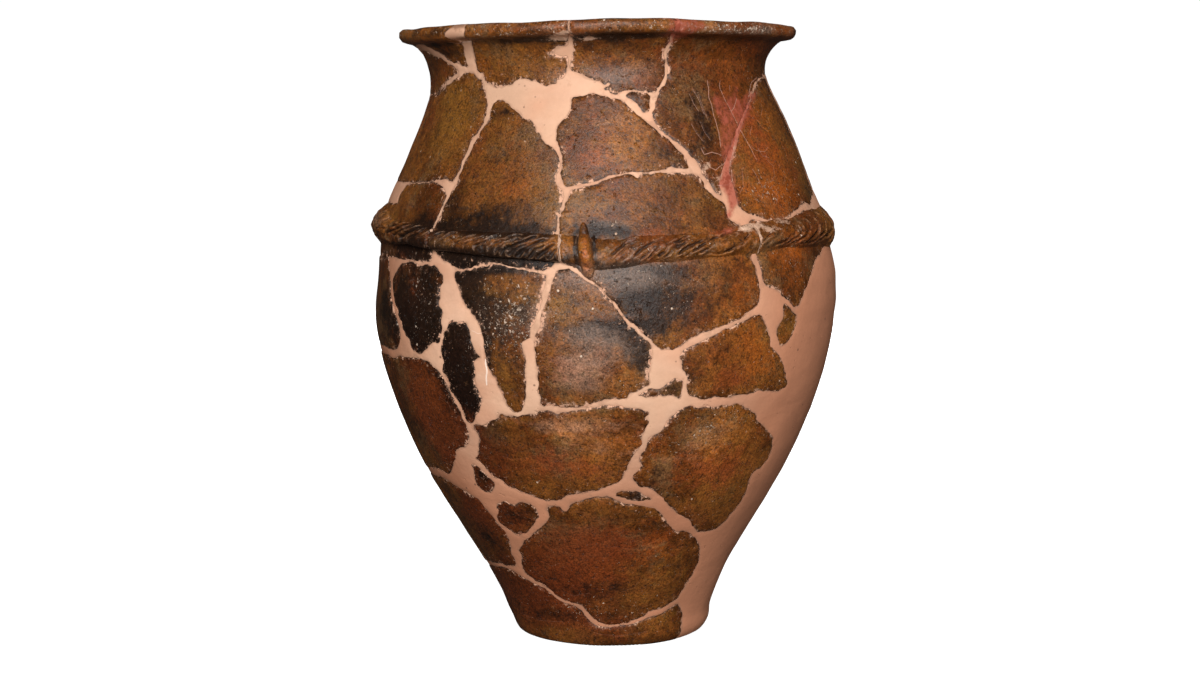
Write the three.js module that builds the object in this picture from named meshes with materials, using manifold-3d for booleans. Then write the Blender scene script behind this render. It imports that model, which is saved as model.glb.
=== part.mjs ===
// Biconical hand-built pottery vase, restored from sherds.
// Units: millimetres, +Z up. Angles are measured round the vase from the front (-Y), positive
// towards +X. The origin is the middle of the vase's box, on the surface it stands on.
import * as THREE from 'three';
import { mergeVertices } from 'three/addons/utils/BufferGeometryUtils.js';
import Module from 'manifold-3d';

const wasm = await Module();
wasm.setup();

// ---- driving dimensions ----
const AROUND = 32;            // facets round the outside of the wall
const AROUND_INSIDE = 24;     // facets round its inside
const GAP = 0.32;             // clearance between neighbouring pieces
const EDGE = 0.35;            // how far a sherd's edge is worn back inside its outline
const WALL = 7.0;             // wall of the body
const WALL_NECK = 5.4;        // wall of the neck and lip
const FLOOR = 9.0;            // thickness of the floor
const FOOT_R = 39.6;          // radius of the flat foot
const DISC_R = 30.0;          // radius of the floor disc inside the foot ring
const LIP_TOP = 269.0;        // mean height of the lip
const FRAME_X = 1.126, FRAME_Y = 1.441;  // puts the middle of the whole vase's box on the frame's axis
const CORDON_H = 12.8;        // its height on the wall
const CORDON_OUT = 4.8;       // how far it stands out
const LUG_W = 6.0, LUG_H = 24.8, LUG_OUT = 5.6, LUG_Z = 177.0;  // upright lug on the cordon

// outer wall: height, radius, offset of the ring's centre along X
const PROFILE = [
  [0, FOOT_R, 2.5], [2.6, 43.4, 3.7], [9, 45.6, 3.1], [24, 51.5, 2.3], [48, 65.0, 1.55], [76, 81.1, 1.4], [103, 93.1, 1.25],
  [130, 101.0, 1.2], [152, 102.8, 1.9], [172, 100.8, 1.35], [196, 93.8, 0.1], [222, 83.4, 0.4], [244, 75.0, -1.3],
  [253.5, 74.9, -2.5], [258.6, 77.2, -2.6], [262.6, 80.9, -2.5], [263.5, 84.6, -2.2], [265.0, 87.1, -2.1], [267.2, 87.5, -2.1], [LIP_TOP, 86.0, -2.1],
];

// how far the mouth stands above or below its mean height: angle, millimetres
const MOUTH = [[-180, -1.5], [-125, -1.4], [-92, -1.15], [-62, -1.6], [-30, -0.75], [-8, 0.15], [15, 1.0], [38, 0.45], [64, 0.1], [92, 0], [130, -0.5], [180, -1.5]];

// sherd outlines: angle in degrees, height in millimetres
const SHERDS = {
  neck_sherd_left: [[-84, 258.2], [-66.8, 258], [-53.5, 252.8], [-52.4, 250.2], [-67.1, 241.1], [-98, 240], [-108, 246], [-106, 254]],
  rim_sherd_far_left: [[-46.4, 266.4], [-44.3, 262.2], [-47.4, 251.8], [-70, 262.6], [-120, 258], [-127, 262], [-122, 276], [-43, 276], [-43.2, 268.2]],
  rim_sherd_left: [[-8.1, 262.8], [-8.7, 259.9], [-14.7, 256.7], [-8.9, 253.6], [-13.5, 244], [-17.1, 242.9], [-26, 246.6], [-35.8, 243.4], [-42.7, 251.3], [-39.7, 262.2], [-39.4, 263.9], [-38.7, 276], [-7.8, 276]],
  rim_sherd_front: [[-7.3, 262.8], [-8.3, 249.8], [3.5, 244], [1, 242], [2.9, 239.6], [14.3, 239.2], [20.9, 246.4], [21.7, 276], [-7.2, 276]],
  rim_sherd_right: [[65.2, 246.3], [42.5, 225.8], [33.1, 208.1], [31.7, 198.9], [30, 200.6], [25.3, 213.7], [15.6, 226.2], [14.5, 231.7], [22.7, 248.9], [22.6, 276], [104, 276], [106, 266], [101, 258], [97, 251]],
  shoulder_sherd_right: [[75.6, 196], [68.9, 192.2], [65.5, 193.7], [52.2, 188], [44.4, 188.1], [36, 194.7], [35.1, 206.4], [43.5, 224.9], [55.1, 238.2], [65.9, 245.9], [80.5, 246], [83.2, 202], [81.6, 197.5]],
  neck_chip: [[7.1, 238.6], [14.3, 239.2], [14.1, 233.7], [11.4, 231.8]],
  shoulder_sherd_left: [[-57.8, 245.8], [-45.9, 249.8], [-41.5, 247], [-37.7, 236.3], [-44.3, 203.7], [-88, 202], [-95, 204], [-101, 210], [-99, 220], [-101, 230], [-96, 238]],
  cordon_sherd_left: [[-68, 200.8], [-51.4, 203.3], [-44.6, 198.3], [-46, 171.2], [-78.5, 168.5], [-100, 170], [-106, 176], [-103, 184], [-105, 192], [-98, 196], [-92, 193], [-68.9, 192.6], [-70.1, 196.8]],
  shoulder_sherd_centre_left: [[-35.4, 236.7], [-32.9, 237.9], [-21.3, 228.3], [-12.5, 214.9], [-12.4, 204.3], [-9.9, 197.9], [-11.1, 174.8], [-14.2, 169.9], [-25.9, 172], [-36.9, 168.8], [-43.3, 173], [-45.2, 176.6], [-44.8, 191.4]],
  shoulder_sherd_centre: [[-8.9, 237.8], [-2.8, 240.5], [5.9, 236.7], [23.5, 210.3], [1.6, 207.4], [-9.7, 202.9], [-13.5, 225.3]],
  belly_sherd_front: [[-8.6, 200.4], [4.7, 207.4], [24.9, 207.5], [26.7, 201.9], [31.9, 196.5], [32.8, 188], [37.5, 184.5], [38.5, 178], [36.7, 174], [37.8, 159.3], [36.9, 154.5], [16.8, 138.2], [12, 138.4], [-10.1, 174.3], [-10.7, 190]],
  belly_sherd_centre_left: [[-38, 167], [-25, 171.6], [-14, 168.3], [-17.4, 142.3], [-19.5, 140.5], [-19, 123.9], [-21.2, 110.8], [-24.3, 112.3], [-29.2, 133.8], [-29.7, 143.7], [-35.7, 156.2]],
  belly_sherd_centre: [[-11.5, 170], [-8.7, 170.2], [-2.9, 163.5], [10.3, 139.6], [10.3, 123.6], [5, 117.4], [-6.2, 113.5], [-15.5, 113.9], [-16.4, 141.5]],
  belly_sherd_far_left: [[-68.5, 173.4], [-65, 153.3], [-58.9, 140.1], [-58.7, 137.2], [-61.4, 131.9], [-90, 130], [-97, 134], [-101, 142], [-98, 152], [-101, 160], [-95, 167.5]],
  belly_sherd_left: [[-64.7, 162.3], [-60.9, 167.5], [-54.2, 170.4], [-43.5, 167.8], [-42.2, 164.2], [-43, 152.6], [-41.5, 151.1], [-41.2, 144.1], [-42.9, 137.1], [-45.7, 137.2], [-49.8, 131.4], [-53.4, 132.9], [-62.7, 151.9]],
  belly_sherd_mid_left: [[-37.9, 148.2], [-33, 144.2], [-30.4, 133.3], [-32.2, 130.6], [-32.9, 123.3], [-31.4, 114], [-37.3, 103.5], [-42.8, 125.3], [-41.3, 139.9]],
  lower_sherd_left: [[-73.1, 127.5], [-47.1, 128.4], [-43.6, 124.3], [-40.7, 114.8], [-38.8, 99.8], [-40.1, 94.6], [-47, 89.3], [-56.1, 76.9], [-86, 74], [-93, 78], [-99, 86], [-97, 96], [-103, 106], [-99, 118], [-95, 124]],
  lower_sherd_far_left: [[-64.3, 74.5], [-49.2, 70.5], [-44.4, 66.3], [-39.7, 50.9], [-42.6, 36.7], [-92, 31], [-100, 37], [-97, 46], [-103, 55], [-99, 65], [-91, 70.5]],
  lower_sherd_centre: [[-36.5, 102.3], [-26.9, 108.9], [-16.2, 111.7], [-11.7, 110.7], [-1.4, 114.4], [10.5, 112], [9.1, 97.3], [4, 81.2], [-18.1, 70.6], [-32.3, 77.3], [-39.3, 88], [-35.7, 96.7]],
  belly_sherd_right: [[38.1, 187.7], [44.5, 186.9], [48.9, 180.8], [52.5, 181.3], [53.6, 186.6], [55.8, 188.5], [69.3, 190], [77.3, 188.5], [85, 181.1], [62.4, 169.9], [49.7, 151.3], [38.6, 164.1]],
  belly_chip_right: [[45.8, 153.5], [51, 145.6], [50.4, 139.8], [46.2, 135], [43.8, 141.2]],
  belly_sherd_lower_right: [[38.2, 149.4], [33.8, 148.6], [18, 136.5], [16.9, 134.1], [19.9, 118.3], [29.9, 115.9], [51, 117.4], [48.1, 127], [42.2, 136.4]],
  lower_sherd_right: [[18.6, 112.4], [35.9, 112.5], [53.1, 94.8], [54.7, 83.6], [50.1, 80], [49.7, 63.8], [43.5, 54.1], [34.8, 54.1], [16.7, 73.6], [7.3, 82.5], [11.4, 99.8]],
  belly_chip_centre: [[7.2, 118.6], [16.8, 125.3], [18.5, 121.8], [18, 116.7]],
  lower_chip_left: [[-41.3, 85.4], [-35, 76.8], [-37.2, 72.3], [-42.6, 74.6]],
  lower_chip_front: [[-38.6, 65], [-34.3, 69], [-27.6, 69.1], [-24.1, 68.6], [-22.5, 64.5], [-28.7, 55], [-33.9, 52.3], [-39.6, 57.2]],
  lower_chip_centre: [[2.9, 75.2], [9.7, 76.4], [14.1, 71.4]],
  bottom_sherd: [[-19.2, 67.7], [-14.5, 68.6], [-12.8, 66.3], [-10.2, 70.2], [-2.7, 73.8], [13.1, 68.2], [17, 66], [24.1, 56.6], [35.5, 50.1], [42.8, 38.1], [36.5, 20.5], [9.3, 11.5], [-3.9, 11.2], [-13.3, 19.6], [-24.1, 22.8], [-39.4, 35.7], [-36.5, 45.1], [-19.9, 61.4]],
  base_sherd_front: [[-58.5, 33.2], [-49.3, 33.6], [-30, 26.2], [-14.3, 17.7], [-5.1, 9.8], [11.4, 10.6], [37.9, 18.3], [44.6, 12], [42.7, 5.7], [52, -6], [-98, -6], [-100, 8], [-96, 20], [-88, 28]],
  rim_sherd_back_right: [[112, 276], [110, 258], [114, 246], [126, 240], [140, 236], [152, 240], [160, 248], [163, 262], [161, 276]],
  rim_sherd_back_left: [[168, 276], [170, 262], [167, 250], [176, 242], [190, 238], [206, 241], [218, 246], [226, 254], [228, 276]],
  shoulder_sherd_back_right: [[104, 244], [92, 242], [87.5, 236], [86.4, 224], [86.6, 210], [88, 199], [96, 193], [108, 190], [122, 192], [134, 196], [142, 206], [146, 220], [138, 230], [124, 235]],
  shoulder_sherd_back: [[152, 232], [150, 216], [148, 202], [152, 190], [150, 176], [160, 170], [176, 168], [190, 172], [196, 184], [192, 198], [196, 212], [188, 224], [172, 232], [162, 236]],
  belly_sherd_back_right: [[96, 184], [94, 168], [97, 150], [92, 138], [104, 130], [120, 128], [134, 134], [144, 146], [145, 162], [140, 176], [126, 184], [110, 187]],
  belly_sherd_back: [[152, 162], [150, 146], [156, 132], [154, 118], [168, 112], [184, 114], [198, 120], [204, 134], [200, 150], [192, 164], [176, 162]],
  belly_sherd_back_left: [[204, 176], [208, 160], [212, 142], [222, 126], [236, 122], [248, 130], [252, 150], [248, 164], [250, 190], [240, 200], [224, 202], [208, 194]],
  lower_sherd_back: [[150, 104], [144, 88], [150, 72], [170, 62], [190, 60], [208, 68], [218, 82], [212, 98], [196, 108], [172, 106]],
  base_sherd_back: [[110, -6], [112, 14], [106, 30], [118, 44], [134, 52], [152, 50], [166, 44], [180, 48], [196, 52], [214, 50], [232, 45], [246, 33], [243, 14], [247, -6]],
};

// plaster patches, as sectors of the wall
const FILLS = {
  lip_fill_left: [[-60, 251], [-60, 290], [-28, 290], [-28, 251]],
  neck_fill_front: [[-60, 181], [-60, 250.6], [-27.6, 250.6], [-27.6, 290], [27, 290], [27, 181]],
  shoulder_fill_right: [[27, 181], [27, 290], [108, 290], [108, 181]],
  shoulder_fill_back_right: [[108, 181], [108, 290], [165, 290], [165, 181]],
  shoulder_fill_back_left: [[165, 181], [165, 290], [232, 290], [232, 181]],
  shoulder_fill_left: [[232, 181], [232, 290], [300, 290], [300, 181]],
  belly_fill_left: [[-72, -10], [-72, 181], [-30, 181], [-30, 95], [-2, 95], [-2, -10]],
  belly_fill_front_left: [[-30, 95], [-30, 181], [-2, 181], [-2, 95]],
  belly_fill_front: [[-2, 45], [-2, 181], [25, 181], [25, 45]],
  belly_fill_right: [[-2, -10], [-2, 45], [25, 45], [25, 181], [66, 181], [66, -10]],
  lower_fill_right: [[66, -10], [66, 181], [120, 181], [120, -10]],
  lower_fill_back: [[120, -10], [120, 181], [240, 181], [240, -10]],
  lower_fill_left: [[240, -10], [240, 181], [288, 181], [288, -10]],
};

// lengths of cordon between its breaks: from angle, to angle
const CORDON = [['cordon_left', -128, -46], ['cordon_front_left', -45, -10.8], ['cordon_front', -9.6, 38.6], ['cordon_right', 39.6, 128], ['cordon_back', 129, 231]];

// height of the cordon round the vase: angle, height
const CORDON_PATH = [[-180, 180.6], [-130, 181.2], [-78, 182.6], [-58, 181.6], [-42, 180.0], [-20, 178.4], [0, 177.6], [15, 177.2], [22, 178.0], [30, 180.2], [38, 182.2], [47, 183.4], [60, 183.0], [75, 181.2], [130, 179.8], [180, 180.6]];

// upright lugs: angle
const LUGS = [['lug_front', -4.4]];

// ---- surface ----
const rad = (d) => d * Math.PI / 180;
const smooth = (a, b, x) => { const t = Math.min(1, Math.max(0, (x - a) / (b - a))); return t * t * (3 - 2 * t); };
function column(z, k) {
  if (z <= PROFILE[0][0]) return PROFILE[0][k];
  for (let i = 1; i < PROFILE.length; i++) {
    if (z <= PROFILE[i][0]) {
      const a = PROFILE[i - 1], b = PROFILE[i], t = (z - a[0]) / (b[0] - a[0]);
      return a[k] + (b[k] - a[k]) * t;
    }
  }
  return PROFILE[PROFILE.length - 1][k];
}
// a value given at a few angles round the vase, carried smoothly from one to the next
function around(table, th) {
  const d = ((th * 180 / Math.PI + 180) % 360 + 360) % 360 - 180;
  for (let i = 1; i < table.length; i++) {
    const [a0, v0] = table[i - 1], [a1, v1] = table[i];
    if (d <= a1) return v0 + (v1 - v0) * smooth(a0, a1, d);
  }
  return table[0][1];
}
// the mouth was left a little uneven: it stands highest at the front, right of the lug
const lift = (th, z) => smooth(205, 262, z) * around(MOUTH, th);
function place(th, z, r) {
  return [column(z, 2) - FRAME_X + r * Math.sin(th), FRAME_Y - r * Math.cos(th), z + lift(th, z)];
}

// ---- solids ----
function solid(geo) {
  const g = geo.clone();
  g.deleteAttribute('normal'); g.deleteAttribute('uv');
  const m = mergeVertices(g, 1e-4);
  let tri = Array.from(m.index.array);
  const p = m.attributes.position.array;
  let vol = 0;
  for (let i = 0; i < tri.length; i += 3) {
    const [a, b, c] = [tri[i] * 3, tri[i + 1] * 3, tri[i + 2] * 3];
    vol += p[a] * (p[b + 1] * p[c + 2] - p[b + 2] * p[c + 1]) + p[a + 1] * (p[b + 2] * p[c] - p[b] * p[c + 2]) + p[a + 2] * (p[b] * p[c + 1] - p[b + 1] * p[c]);
  }
  if (vol < 0) for (let i = 0; i < tri.length; i += 3) [tri[i + 1], tri[i + 2]] = [tri[i + 2], tri[i + 1]];
  const keep = [];
  for (let i = 0; i < tri.length; i += 3) if (tri[i] !== tri[i + 1] && tri[i + 1] !== tri[i + 2] && tri[i] !== tri[i + 2]) keep.push(tri[i], tri[i + 1], tri[i + 2]);
  return new wasm.Manifold(new wasm.Mesh({ numProp: 3, vertProperties: new Float32Array(p), triVerts: new Uint32Array(keep) }));
}
// a lathed ring whose section closes on itself, carried on to the vase's slightly uneven surface
function lathe(section, steps = AROUND) {
  const pts = section.map(([r, z]) => new THREE.Vector2(r, z));
  const g = new THREE.LatheGeometry(pts, steps, 0, 2 * Math.PI);
  const p = g.attributes.position;
  for (let i = 0; i < p.count; i++) {
    const x = p.getX(i), y = p.getZ(i), z = p.getY(i);
    const r = Math.hypot(x, y), th = Math.atan2(x, -y);
    p.setXYZ(i, ...place(r < 1e-6 ? 0 : th, z, r));
  }
  return solid(g);
}
// a cutter: an outline in angle and height, drawn out from inside the vase to beyond its wall
function cutter(outline, grow = 0, r0 = 0.2, r1 = 1.75) {
  const shape = new THREE.Shape(follow(offset(outline, grow)).map(([a, z]) => new THREE.Vector2(a, z)));
  const g = new THREE.ExtrudeGeometry(shape, { depth: 1, steps: 1, bevelEnabled: false });
  const p = g.attributes.position;
  for (let i = 0; i < p.count; i++) {
    const th = rad(p.getX(i)), z = p.getY(i), k = r0 + (r1 - r0) * p.getZ(i);
    const r = 95 * k;
    p.setXYZ(i, ...place(th, z, r));
  }
  return solid(g);
}
// extra points along an outline, so that it bends round the wall and keeps to the wall's own rows
function follow(outline) {
  const out = [];
  outline.forEach(([a, z], i) => {
    const [b, y] = outline[(i + 1) % outline.length];
    const ts = [0];
    const n = Math.ceil(Math.abs(b - a) / 10);
    for (let k = 1; k < n; k++) ts.push(k / n);
    if (Math.abs(b - a) < 0.6) for (const [row] of PROFILE) { const s = (row - z) / (y - z); if (s > 0.001 && s < 0.999) ts.push(s); }
    for (const s of ts.sort((p, q) => p - q)) out.push([a + (b - a) * s, z + (y - z) * s]);
  });
  return out;
}
// move an outline outwards by d millimetres, measured on the wall
function offset(outline, d) {
  const n = outline.length;
  const q = outline.map(([a, z]) => [rad(a) * column(Math.min(269, Math.max(0, z)), 1), z, column(Math.min(269, Math.max(0, z)), 1)]);
  let area = 0;
  for (let i = 0; i < n; i++) { const a = q[i], b = q[(i + 1) % n]; area += a[0] * b[1] - b[0] * a[1]; }
  const s = area > 0 ? 1 : -1;
  return q.map((c, i) => {
    const a = q[(i + n - 1) % n], b = q[(i + 1) % n];
    const e1 = [c[0] - a[0], c[1] - a[1]], e2 = [b[0] - c[0], b[1] - c[1]];
    const l1 = Math.hypot(...e1) || 1, l2 = Math.hypot(...e2) || 1;
    const n1 = [e1[1] / l1 * s, -e1[0] / l1 * s], n2 = [e2[1] / l2 * s, -e2[0] / l2 * s];
    const k = Math.max(0.35, 1 + n1[0] * n2[0] + n1[1] * n2[1]);
    return [(c[0] + d * (n1[0] + n2[0]) / k) / c[2] * 180 / Math.PI, c[1] + d * (n1[1] + n2[1]) / k];
  });
}

// the wall with its floor, one closed section turned round the axis
const outer = PROFILE.map(([z, r]) => [r, z]);
const inner = [
  [83.6, 275.0], [82.6, 268.4], [76.8, 262.6], [72.3, 257.0], [70.0, 252.0], [69.2, 245.0], [84.6, 203.0], [95.3, 162.0], [94.2, 130.0],
  [79.8, 90.0], [55.2, 43.0], [34.0, FLOOR],
];
const hollow = lathe([[0, FLOOR], ...[...inner].reverse(), [0, 275.0]], AROUND_INSIDE);
const ring = lathe([[0, 0], ...outer, [0, LIP_TOP]]).subtract(hollow).subtract(lathe([[0, -5], [DISC_R, -5], [DISC_R, 0], [DISC_R, FLOOR - 0.4], [DISC_R, FLOOR + 5], [0, FLOOR + 5]]));

const parts = [];
const FIRED = 0x5a3a1c, PALE = 0xd9a98a;
function add(name, man, colour, rough) {
  const m = man.getMesh();
  const g = new THREE.BufferGeometry();
  g.setAttribute('position', new THREE.BufferAttribute(new Float32Array(m.vertProperties), 3));
  g.setIndex(new THREE.BufferAttribute(new Uint32Array(m.triVerts), 1));
  g.computeVertexNormals();
  const mesh = new THREE.Mesh(g, new THREE.MeshStandardMaterial({ color: colour, roughness: rough, metalness: 0 }));
  mesh.name = name;
  parts.push(mesh);
}
function largest(man) {
  return man.decompose().sort((a, b) => b.volume() - a.volume())[0];
}

// ---- sherds, each cut out of the wall along its broken edge ----
const TONES = [0x5a3a1c, 0x4b2e18, 0x6a4220, 0x3a2414, 0x70481f];
let fill = ring, t = 0;
for (const [name, outline] of Object.entries(SHERDS)) {
  add(name, largest(fill.intersect(cutter(outline, -EDGE))), TONES[t++ % TONES.length], 0.42);
  fill = fill.subtract(cutter(outline, GAP - EDGE)).subtract(cutter(outline, -EDGE));
}

// ---- plaster fills between the sherds, made up in patches ----
for (const [name, outline] of Object.entries(FILLS)) {
  add(name, largest(fill.intersect(cutter(outline, -GAP / 2))), PALE, 0.85);
}

// ---- floor disc ----
add('floor_disc', lathe([[0, 0], [DISC_R - GAP, 0], [DISC_R - GAP, FLOOR - 0.4], [0, FLOOR - 0.4]]), 0x4b2e18, 0.5);

// ---- cordon laid on the shoulder, and the upright lugs on it ----
function strip(from, to, half, out, zc, r = 1) {
  const steps = Math.max(2, Math.round((to - from) / 9));
  const shape = new THREE.Shape([[0, -half], [0.3, -half], [0.72, -half * 0.82], [1, -half * 0.28], [1, half * 0.3], [0.66, half * 0.76], [0.2, half], [0, half]].map(([x, y]) => new THREE.Vector2(x, y)));
  const g = new THREE.ExtrudeGeometry(shape, { depth: 1, steps, bevelEnabled: false });
  const p = g.attributes.position;
  for (let i = 0; i < p.count; i++) {
    const th = rad(from + (to - from) * p.getZ(i)), z = zc(th) + p.getY(i);
    p.setXYZ(i, ...place(th, z, column(z, 1) + (p.getX(i) === 0 ? -3 : GAP + p.getX(i) * out)));
  }
  return solid(g);
}
// the cordon was laid on by eye, so its height wanders round the vase
const cordonZ = (th) => around(CORDON_PATH, th);
// an upright lug: an oval knob that narrows outwards
function lug(angle, grow) {
  const pts = [];
  for (let i = 0; i < 12; i++) {
    const a = i / 12 * 2 * Math.PI, k = 0.62;
    pts.push(new THREE.Vector2((LUG_W / 2 + grow) * Math.sign(Math.cos(a)) * Math.abs(Math.cos(a)) ** k, (LUG_H / 2 + grow) * Math.sign(Math.sin(a)) * Math.abs(Math.sin(a)) ** k));
  }
  const g = new THREE.ExtrudeGeometry(new THREE.Shape(pts), { depth: 1, steps: 2, bevelEnabled: false });
  const p = g.attributes.position;
  for (let i = 0; i < p.count; i++) {
    const w = p.getZ(i), s = grow ? 1 : 1 - 0.35 * w * w;
    const z = LUG_Z + p.getY(i) * s;
    const r = column(z, 1) - 3 + w * (LUG_OUT + 3 + (grow ? 4 : 0));
    p.setXYZ(i, ...place(rad(angle) + p.getX(i) * s / column(z, 1), z, r));
  }
  return solid(g);
}
// the wall's own outside, a hair larger: what is laid on the wall is hollowed to fit it
const LOW = 140, HIGH = 215, SEAT = GAP * 1.15;
const seat = lathe([[0, LOW], [column(LOW, 1) + SEAT, LOW], ...PROFILE.filter(([z]) => z > LOW && z < HIGH).map(([z, r]) => [r + SEAT, z]), [column(HIGH, 1) + SEAT, HIGH], [0, HIGH]]);
const lugCuts = LUGS.map(([, angle]) => lug(angle, GAP));
for (const [name, a, b] of CORDON) {
  let s = strip(a, b, CORDON_H / 2, CORDON_OUT, cordonZ).subtract(seat);
  for (const c of lugCuts) s = s.subtract(c);
  for (const [i, q] of s.decompose().sort((p, q) => (p.boundingBox().min[0] - q.boundingBox().min[0])).entries()) {
    if (q.volume() > 50) add(i ? name : (s.decompose().length > 1 ? name + '_short' : name), q, 0x5a3a1c, 0.45);
  }
}
for (const [name, angle] of LUGS) add(name, largest(lug(angle, 0).subtract(seat)), 0x6a3c18, 0.45);

const group = new THREE.Group();
for (const m of parts) group.add(m);
export default group;
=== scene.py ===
import math
import numpy as np
import bpy
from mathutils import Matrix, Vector, kdtree
from mathutils.geometry import delaunay_2d_cdt


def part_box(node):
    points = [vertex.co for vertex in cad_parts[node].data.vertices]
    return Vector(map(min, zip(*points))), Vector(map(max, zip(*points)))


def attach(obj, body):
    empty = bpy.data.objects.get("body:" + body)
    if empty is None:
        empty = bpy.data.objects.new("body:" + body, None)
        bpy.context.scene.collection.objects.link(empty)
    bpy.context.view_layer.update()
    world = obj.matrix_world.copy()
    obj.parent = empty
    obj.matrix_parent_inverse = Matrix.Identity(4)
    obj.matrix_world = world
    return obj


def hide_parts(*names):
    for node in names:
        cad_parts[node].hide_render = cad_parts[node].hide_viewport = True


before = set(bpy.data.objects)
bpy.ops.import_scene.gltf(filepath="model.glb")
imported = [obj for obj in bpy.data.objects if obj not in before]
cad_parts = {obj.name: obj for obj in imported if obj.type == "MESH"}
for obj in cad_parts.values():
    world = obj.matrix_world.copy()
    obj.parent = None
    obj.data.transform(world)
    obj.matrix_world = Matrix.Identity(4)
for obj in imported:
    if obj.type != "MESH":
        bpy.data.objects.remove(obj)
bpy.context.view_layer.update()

# ---------------------------------------------------------------------------
# A hand-built vase put together from sherds, with plaster where wall is lost.
# Places on the wall are (angle, height): degrees from the front, positive to
# the right, and millimetres above the foot. Everything is turned to metres
# when a mesh is made.
# ---------------------------------------------------------------------------
FRAME_X, FRAME_Y = 1.126, 1.441
UREF = 85.0                      # radius used to lay the wall out flat

# outer profile: radius, height, sideways drift of the centre
OUT = [(30, 0, 3.3), (33, 0, 2.9), (36, .01, 2.6), (39.2, .03, 2.4), (40.9, .22, 2.85), (42.1, .8, 3.4), (42.9, 1.8, 3.6), (43.7, 3.1, 3.78),
       (44.5, 5, 3.88), (45.1, 6.9, 3.63), (45.6, 8.7, 3.2), (46.1, 10.6, 2.85), (47.9, 16, 2.7), (51.5, 24, 2.3), (57.3, 35, 1.8), (65, 48, 1.55), (73.5, 62, 1.5), (81.6, 77, 1.4), (88.6, 92, 1.3),
       (94.4, 107, 1.2), (98.6, 120, 1.2), (101.3, 132, 1.2), (102.5, 142, 1.25), (102.8, 150, 1.8), (102.4, 156, 2.1), (102.1, 162, 2.25),
       (101.4, 168, 1.8), (100.3, 174, 1.1), (98.7, 180, .5), (97.0, 186, .2), (95.1, 192, .1), (93.75, 196, .1), (92.05, 200, .15), (88.5, 209, .45),
       (85.1, 218, .55), (81.8, 226, .5), (78.5, 234, .1), (75.9, 241, -.7), (74.7, 246, -1.6), (74.35, 250, -2.2), (74.8, 253, -2.5),
       (75.35, 255.2, -2.6), (76.4, 257.4, -2.6), (77.6, 259.3, -2.6), (79.2, 261.1, -2.6), (80.6, 262.4, -2.5), (82.0, 263.05, -2.3), (84.0, 263.3, -2.2),
       (85.8, 263.8, -2.1), (87.0, 265.0, -2.1), (87.45, 266.3, -2.1), (87.45, 267.4, -2.1), (86.8, 268.5, -2.1), (85.9, 269.1, -2.1), (84.8, 269.4, -2.1)]
# inner profile: outer height it lies behind, radius, height, drift
INN = [(-99, 30, 9, 3.3), (.25, 33.5, 9.3, 3.3), (4, 36, 11, 3.4), (24, 44.8, 26.5, 2.3), (48, 58.6, 50.5, 1.55), (76, 74.6, 78.5, 1.4),
       (103, 86.4, 105, 1.25), (130, 94.1, 131, 1.2), (152, 95.6, 152, 1.5), (172, 93.4, 171.5, 1.1), (196, 86.8, 194.5, .2),
       (222, 77.2, 220, .4), (244, 69.5, 243, -1.3), (253.5, 69.9, 254, -2.5), (257.5, 71.8, 258, -2.6), (260.5, 74.2, 261.2, -2.6), (262.6, 76.6, 263.6, -2.5),
       (264.5, 79.2, 266.0, -2.2), (267.2, 82.2, 268.2, -2.1), (268.5, 83.8, 269.05, -2.1), (269.4, 84.8, 269.4, -2.1)]


# how far the mouth stands above or below its mean height: angle, mm
MOUTH = [[-180, -1.5], [-125, -1.4], [-92, -1.15], [-62, -1.6], [-30, -.75], [-8, .15], [15, 1.0], [38, .45], [64, .1], [92, 0], [130, -.5], [180, -1.5]]


def pchip(x, xs, ys):
    x, xs, ys = (np.asarray(a, float) for a in (x, xs, ys))
    h = np.diff(xs); d = np.diff(ys) / h
    m = np.empty_like(ys); m[0], m[-1] = d[0], d[-1]
    for i in range(1, len(xs) - 1):
        if d[i - 1] * d[i] <= 0:
            m[i] = 0
        else:
            w1, w2 = 2 * h[i] + h[i - 1], h[i] + 2 * h[i - 1]
            m[i] = (w1 + w2) / (w1 / d[i - 1] + w2 / d[i])
    i = np.clip(np.searchsorted(xs, x) - 1, 0, len(xs) - 2)
    t = np.clip((x - xs[i]) / h[i], 0, 1)
    return ((2 * t**3 - 3 * t**2 + 1) * ys[i] + (t**3 - 2 * t**2 + t) * h[i] * m[i]
            + (-2 * t**3 + 3 * t**2) * ys[i + 1] + (t**3 - t**2) * h[i] * m[i + 1])


def smooth(a, b, x):
    t = np.clip((np.asarray(x, float) - a) / (b - a), 0, 1)
    return t * t * (3 - 2 * t)


_o = np.array(OUT, float)
_t = np.r_[0, np.cumsum(np.hypot(np.diff(_o[:, 0]), np.diff(_o[:, 1])))]
S_TOP = float(_t[-1])
_ss = np.linspace(0, S_TOP, 3001)
_or, _oz, _oc = (pchip(_ss, _t, _o[:, k]) for k in range(3))
_foot = int(np.argmax(_oz > .05))


def s_of_z(z):
    """distance along the outer profile at a height; below the foot it runs in under the base"""
    z = np.asarray(z, float)
    s = np.interp(z, _oz[_foot:], _ss[_foot:])
    s = np.where(z < .05, _ss[_foot] + (z - .05) * 2.2, s)
    return np.where(z > 269.4, S_TOP + (z - 269.4) * 2, s)


_i = np.array(INN, float)
_it = np.array([0.0] + [float(s_of_z(z)) for z in _i[1:, 0]]); _it[-1] = S_TOP
_ir, _iz, _ic = (pchip(_ss, _it, _i[:, k]) for k in (1, 2, 3))
_nr, _nz = np.gradient(_oz), -np.gradient(_or)
_l = np.hypot(_nr, _nz); _nr, _nz = _nr / _l, _nz / _l
_mr, _mz = -np.gradient(_iz), np.gradient(_ir)
_l = np.hypot(_mr, _mz) + 1e-9; _mr, _mz = _mr / _l, _mz / _l


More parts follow.
